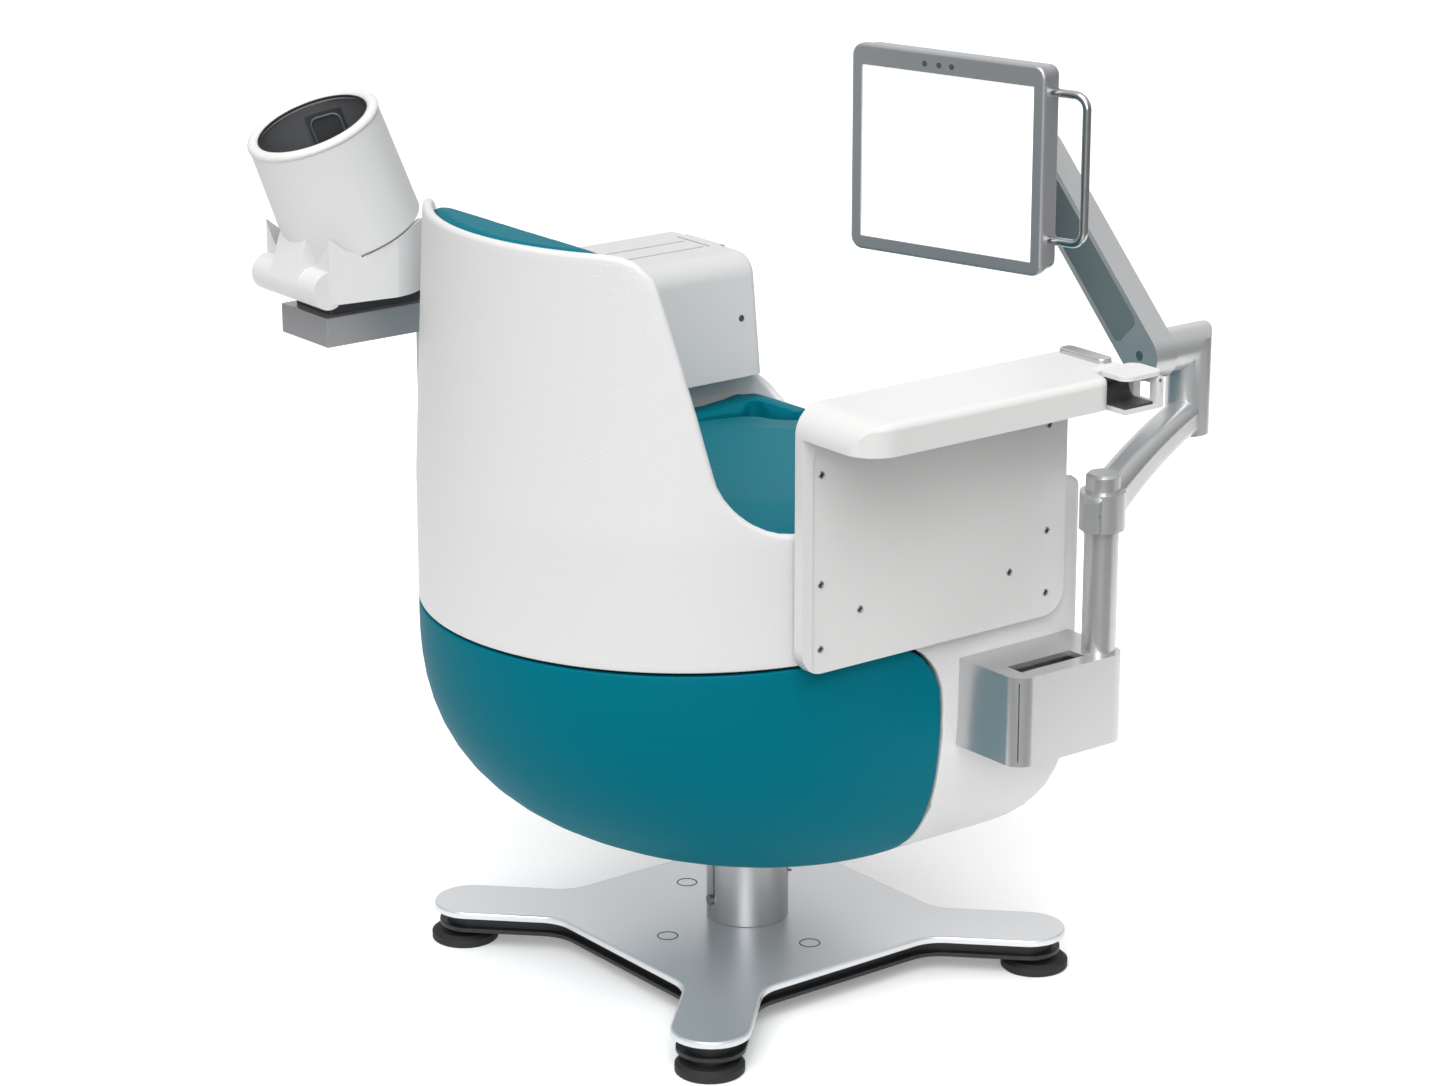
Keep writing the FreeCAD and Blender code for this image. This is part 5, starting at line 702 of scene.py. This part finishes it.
def painted_shade_bed(name, inner, outer, front, rear, top, depth):
    """Mesh of a shallow dark bed for a slot, its ends rounded: painted shade in the slot."""
    bm = bmesh.new()
    radius = min(outer - inner, rear - front) / 2
    rows = []
    for height in (top - depth, top):
        ring = []
        for x, y, first in ((outer, rear, 0), (inner, rear, 90), (inner, front, 180), (outer, front, 270)):
            middle_x = x - radius if x == outer else x + radius
            middle_y = y - radius if y == rear else y + radius
            for turn in range(first, first + 91, 30):
                angle = math.radians(turn)
                point = (middle_x + radius * math.cos(angle), middle_y + radius * math.sin(angle), height)
                ring.append(bm.verts.new(point))
        rows.append(ring)
    for i in range(len(rows[0])):
        k = (i + 1) % len(rows[0])
        bm.faces.new((rows[0][i], rows[0][k], rows[1][k], rows[1][i]))
    bm.faces.new(rows[1])
    bm.faces.new(reversed(rows[0]))
    bmesh.ops.remove_doubles(bm, verts=bm.verts, dist=MESH_JOIN)
    return mesh_of(bm, name)


class CHAIR_OT_armrest(bpy.types.Operator):
    """Finish the armrest, its steel strip and the fingertip clip"""
    bl_idname = "chair.armrest"
    bl_label = "Armrest"

    def execute(self, context):
        width = context.scene.chair_shell.edge
        armrest = piece("armrest", armrest_mesh(), "gloss_white", "seat", "white_shell", "right_armrest")
        soften(armrest, "gloss_white", width)
        dress([("gloss_white", "clip_base clip_lid"), ("dark", "clip_liner"),
               ("brushed", "armrest_trim"), ("zinc", "clip_pin")], width)
        eyelet = [(HOLE_RADIUS + out, height) for out, height in EYELET]
        for number, (y, z) in enumerate(PANEL_HOLES):
            mesh = turned("eyelet", eyelet, facing((PANEL_FACE, y, z), (-1, 0, 0)), 28)
            piece("panel_eyelet_%d" % (number + 1), mesh, "zinc", "seat", "steel")
        return {"FINISHED"}


class CHAIR_OT_console(bpy.types.Operator):
    """Finish the console and its printer flap"""
    bl_idname = "chair.console"
    bl_label = "Console"

    def execute(self, context):
        width = context.scene.chair_shell.edge
        # The console housing and flap take the white greyed as painted shade.
        dress([("console_painted_shade", "console_housing printer_flap"), ("satin", "console_bracket"),
               ("zinc", "flap_pin")], width)
        # Dark beds in the grooves and the paper slot are painted shade.
        for number, middle in enumerate(GROOVES):
            bed = painted_shade_bed("groove_painted_shade", middle - GROOVE_WIDTH / 2, middle + GROOVE_WIDTH / 2, *GROOVE_ENDS,
                        CONSOLE_TOP - GROOVE_DEPTH * GROOVE_BED_DROP, GROOVE_DEPTH * GROOVE_BED_THICK)
            piece("groove_bed_%d" % (number + 1), bed, "panel", "seat", "dark_plastic")
        bed = painted_shade_bed("slot_painted_shade", *PAPER_SLOT, CONSOLE_TOP - SLOT_BED_DROP, SLOT_BED_THICK)
        piece("paper_slot_bed", bed, "dark", "seat", "dark_plastic")
        y, z = CONSOLE_SCREW
        hit, spot, normal, _ = NODES["console_housing"].ray_cast((0, y, z), (1, 0, 0))
        if not hit:
            raise RuntimeError("no console wall for its screw")
        screw = turned("screw_head", SCREW_HEAD, facing(spot, normal), 28)
        piece("console_screw", screw, "dark", "seat", "dark_plastic")
        return {"FINISHED"}


# Cuff

def pad_bead(axis):
    """Mesh of the raised bead round the pad: a closed tube bent to the inside of the cuff."""
    low, high = BEAD_ENDS
    route = []
    for side, level, first in ((1, high, 0), (-1, high, 90), (-1, low, 180), (1, low, 270)):
        for turn in range(first, first + 91, 15):
            angle = math.radians(turn)
            up = -1 if level == high else 1
            route.append((side * (BEAD_HALF - BEAD_CORNER) + BEAD_CORNER * math.cos(angle),
                          level + up * BEAD_CORNER + BEAD_CORNER * math.sin(angle)))
    turns = [2 * math.pi * i / BEAD_POINTS for i in range(BEAD_POINTS)]
    bm = bmesh.new()
    rings = []
    for (across, level), before, after in zip(route, route[-1:] + route[:-1], route[1:] + route[:1]):
        bend = across / BEAD_REACH
        out = Vector((math.sin(bend), -math.cos(bend), 0))
        along = Vector((math.cos(bend), math.sin(bend), 0))
        beside = along * (after[1] - before[1]) - Vector((0, 0, after[0] - before[0]))
        beside.normalize()
        middle = out * BEAD_REACH + Vector((0, 0, level))
        offsets = [(out * math.cos(turn) + beside * math.sin(turn)) * BEAD_RADIUS for turn in turns]
        rings.append([bm.verts.new(axis @ (middle + offset)) for offset in offsets])
    join_rings(bm, rings)
    bmesh.ops.recalc_face_normals(bm, faces=bm.faces)
    return mesh_of(bm, "pad_bead")


class CHAIR_OT_cuff(bpy.types.Operator):
    """Finish the arm cuff, its cradle and bracket"""
    bl_idname = "chair.cuff"
    bl_label = "Cuff"

    def execute(self, context):
        width = context.scene.chair_shell.edge
        dress([("white", "cuff_shell cuff_cradle"), ("dark", "cuff_neck"), ("liner", "cuff_liner"),
               ("satin", "cuff_bracket"), ("zinc", "cuff_pin")], width)
        hinge = Matrix.Translation(CUFF_HINGE) @ Matrix.Rotation(CUFF_LEAN, 4, "X")
        axis = hinge @ Matrix.Translation((0, CUFF_AXIS, 0))
        lip = oval(CUFF_RADIUS - LIP_INSET, CUFF_TOP, LIP_WIDE, LIP_TALL)
        piece("cuff_lip", turned("rolled_lip", lip, axis, 96), "gloss_white", "cuff", "white_shell")
        turn = axis @ Matrix.Rotation(PAD_TURN, 4, "Z")
        pad = NODES["cuff_pad"].data.copy()
        pad.transform(turn @ axis.inverted())
        piece("cuff_pad_form", pad, "dark", "cuff", "dark_plastic", "cuff_pad")
        piece("cuff_pad_bead", pad_bead(turn), "liner", "cuff", "dark_plastic")
        seal = oval(CUFF_RADIUS - SEAL_INSET, CUFF_TOP + SEAL_RISE, SEAL_RADIUS, SEAL_RADIUS, 12)
        piece("cuff_seal", turned("ring_seal", seal, axis, 96), "rubber", "cuff", "rubber")
        return {"FINISHED"}


class CHAIR_OT_screen_arm(bpy.types.Operator):
    """Finish the post, its holder and the two arms"""
    bl_idname = "chair.screen_arm"
    bl_label = "Screen Arm"

    def execute(self, context):
        width = context.scene.chair_shell.edge
        dress([("brushed", "post_holder post"), ("cast", "lower_arm yoke upper_arm head_knuckle pan_bracket"),
               ("panel", "arm_panels"), ("zinc", "yoke_spindle lift_pin level_bar head_pin pan_pin")], width)
        return {"FINISHED"}


class CHAIR_OT_screen(bpy.types.Operator):
    """Finish the screen, its handle and mount"""
    bl_idname = "chair.screen"
    bl_label = "Screen"

    def execute(self, context):
        width = context.scene.chair_shell.edge
        dress([("satin", "screen_bezel screen_cover"), ("display", "screen_glass"),
               ("lens", "sensor_windows"), ("tube", "screen_handle"), ("powder", "screen_mount"),
               ("zinc", "tilt_pin")], width)
        return {"FINISHED"}


class CHAIR_OT_base(bpy.types.Operator):
    """Finish the base, the column and the swivel"""
    bl_idname = "chair.base"
    bl_label = "Base"

    def execute(self, context):
        width = context.scene.chair_shell.edge
        dress([("silver", "base_plate plate_caps"), ("satin", "column_tube"), ("powder", "base_underframe"),
               ("rubber", "foot_pad_1 foot_pad_2 foot_pad_3 foot_pad_4"),
               ("zinc", "column_socket column_screws seat_spindle spindle_nut"),
               ("acetal", "swivel_bush thrust_ring")], width)
        # A black ring round each cap is painted shade of its gap.
        ring = oval(CAP_RADIUS, 0.0, RING_WIDE, RING_TALL, 8)
        for number, (x, y) in enumerate(CAP_PLACES):
            mesh = turned("cap_shade_ring", ring, facing((x, y, PLATE_TOP), (0, 0, 1)), 40)
            piece("cap_ring_%d" % (number + 1), mesh, "rubber", "base", "rubber")
        return {"FINISHED"}


# Stage

def grey(tree, level):
    """Grey whose three parts are one output."""
    return add(tree, "ShaderNodeCombineColor", {name: level for name in ("Red", "Green", "Blue")})


def floor_paper(ahead, near, wide):
    """White paper, painted light in a strip under and behind the chair: paler and glowing; painted shade
    round it.
    """
    made = material("White studio paper with painted light and shade", linear("#f4f4f4"), 0.9,
                    **{"Emission Color": linear("#ffffff")})
    tree = made.node_tree
    shader = tree.nodes["Principled BSDF"]
    spot = add(tree, "ShaderNodeTexCoord").outputs["Object"]
    along = add(tree, "ShaderNodeVectorMath", {0: spot, 1: ahead}, operation="DOT_PRODUCT")
    front = add(tree, "ShaderNodeMapRange", {"Value": along.outputs["Value"], "From Min": -near - FRONT_FADE,
                                             "From Max": -near}, interpolation_type="SMOOTHSTEP")
    beside = ahead.cross(Vector((0, 0, 1)))
    aside = add(tree, "ShaderNodeVectorMath", {0: spot, 1: beside}, operation="DOT_PRODUCT")
    off = add(tree, "ShaderNodeMath", {0: aside.outputs["Value"]}, operation="ABSOLUTE")
    sides = add(tree, "ShaderNodeMapRange", {"Value": off.outputs["Value"], "From Min": wide,
                                             "From Max": wide - SIDE_FADE}, interpolation_type="SMOOTHSTEP")
    lit = add(tree, "ShaderNodeMath", {0: front.outputs["Result"], 1: sides.outputs["Result"]},
              operation="MULTIPLY")
    shade = add(tree, "ShaderNodeMapRange", {"Value": lit.outputs["Value"], "To Min": FLOOR_PAINTED_SHADE,
                                             "To Max": FLOOR_PALE})
    glow = add(tree, "ShaderNodeMath", {0: lit.outputs["Value"], 1: FLOOR_PAINTED_GLOW}, operation="MULTIPLY")
    tree.links.new(grey(tree, shade.outputs["Result"]).outputs["Color"], shader.inputs["Base Color"])
    tree.links.new(glow.outputs["Value"], shader.inputs["Emission Strength"])
    return made


def soft_light(name, spot, strength, spread):
    """A far, wide light that shines from a spot toward the chair."""
    lamp = bpy.data.lights.new(name, "SUN")
    lamp.energy = strength
    lamp.angle = math.radians(spread)
    holder = bpy.data.objects.new(name, lamp)
    holder.location = spot
    holder.rotation_euler = (-holder.location).to_track_quat("-Z", "Y").to_euler()
    bpy.context.scene.collection.objects.link(holder)
    return holder


def studio_room(strength, ahead):
    """World of a studio: bright overhead and behind the chair, dim at the sides for dark bands on metals."""
    world = bpy.data.worlds.new("studio_room")
    world.use_nodes = True
    tree = world.node_tree
    tree.nodes.clear()
    way = add(tree, "ShaderNodeTexCoord").outputs["Generated"]
    parts = add(tree, "ShaderNodeSeparateXYZ", {"Vector": way})
    climb = add(tree, "ShaderNodeMapRange", {"Value": parts.outputs["Z"], "From Min": 0.0,
                                             "From Max": ROOM_CLIMB, "To Min": ROOM_LOW, "To Max": ROOM_HIGH},
                interpolation_type="SMOOTHSTEP")
    behind = add(tree, "ShaderNodeVectorMath", {0: way, 1: ahead}, operation="DOT_PRODUCT")
    wall = add(tree, "ShaderNodeMapRange", {"Value": behind.outputs["Value"], "From Min": WALL_EDGE,
                                            "From Max": WALL_MIDDLE, "To Min": 0.0, "To Max": WALL_GLOW},
               interpolation_type="SMOOTHSTEP")
    total = add(tree, "ShaderNodeMath", {0: climb.outputs["Result"], 1: wall.outputs["Result"]},
                operation="ADD")
    back = add(tree, "ShaderNodeBackground", {"Color": grey(tree, total.outputs["Value"]).outputs["Color"],
                                              "Strength": strength})
    add(tree, "ShaderNodeOutputWorld", {"Surface": back.outputs["Background"]})
    return world


class CHAIR_OT_stage(bpy.types.Operator):
    """Set the floor, the soft lights and the camera"""
    bl_idname = "chair.stage"
    bl_label = "Stage"

    def execute(self, context):
        scene = context.scene
        stage = scene.chair_stage
        ahead = Vector((math.cos(stage.heading), -math.sin(stage.heading), 0))
        reach = stage.floor
        corners = [(-reach, -reach, 0), (reach, -reach, 0), (reach, reach, 0), (-reach, reach, 0)]
        floor = bpy.data.meshes.new("studio_floor")
        floor.from_pydata(corners, [], [(0, 1, 2, 3)])
        # The floor's paper carries painted light and painted shade.
        floor.materials.append(floor_paper(ahead, stage.near, stage.wide))
        ground = bpy.data.objects.new("studio_floor", floor)
        scene.collection.objects.link(ground)
        # A wide source high on the camera's side rounds the shell, a lower one lights up the metals.
        lamps = [soft_light("overhead_light", OVERHEAD_SPOT, stage.overhead, OVERHEAD_SPREAD),
                 soft_light("front_light", FRONT_SPOT, stage.front, FRONT_SPREAD)]
        scene.world = studio_room(stage.daylight, ahead)
        eye = bpy.data.cameras.new("photo_camera")
        eye.lens = stage.lens
        eye.sensor_width = SENSOR
        eye.sensor_fit = "HORIZONTAL"
        camera = bpy.data.objects.new("photo_camera", eye)
        camera.location = stage.camera
        view = ahead * math.cos(stage.pitch) - Vector((0, 0, math.sin(stage.pitch)))
        camera.rotation_euler = view.to_track_quat("-Z", "Y").to_euler()
        scene.collection.objects.link(camera)
        scene.camera = camera
        scene.view_settings.view_transform = "Standard"
        return {"FINISHED"}


SETTINGS = {"chair_finish": ChairFinishSettings, "chair_shell": ChairShellSettings,
            "chair_cushion": ChairCushionSettings, "chair_stage": ChairStageSettings}
STEPS = (CHAIR_OT_tub, CHAIR_OT_cushions, CHAIR_OT_armrest, CHAIR_OT_console, CHAIR_OT_cuff,
         CHAIR_OT_screen_arm, CHAIR_OT_screen, CHAIR_OT_base, CHAIR_OT_stage)


class CHAIR_PT_panel(bpy.types.Panel):
    """Sizes and steps of the patient chair"""
    bl_idname = "CHAIR_PT_panel"
    bl_label = "Patient Chair"
    bl_space_type = "VIEW_3D"
    bl_region_type = "UI"
    bl_category = "Chair"

    def draw(self, context):
        for group in SETTINGS:
            settings = getattr(context.scene, group)
            for name in settings.__annotations__:
                self.layout.prop(settings, name)
        for step in STEPS:
            self.layout.operator(step.bl_idname)


CLASSES = (*SETTINGS.values(), *STEPS, CHAIR_PT_panel)


def register():
    """Register the classes and hang the settings on the scene."""
    for kind in CLASSES:
        bpy.utils.register_class(kind)
    for name, kind in SETTINGS.items():
        setattr(bpy.types.Scene, name, bpy.props.PointerProperty(type=kind))


def unregister():
    """Undo what register did."""
    for name in SETTINGS:
        delattr(bpy.types.Scene, name)
    for kind in reversed(CLASSES):
        bpy.utils.unregister_class(kind)


def main():
    """Build the chair and its stage."""
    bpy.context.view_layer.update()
    register()
    MATERIALS.update(build_materials(bpy.context.scene.chair_finish))
    for step in STEPS:
        family, name = step.bl_idname.split(".")
        getattr(getattr(bpy.ops, family), name)()


if __name__ == "__main__":
    main()
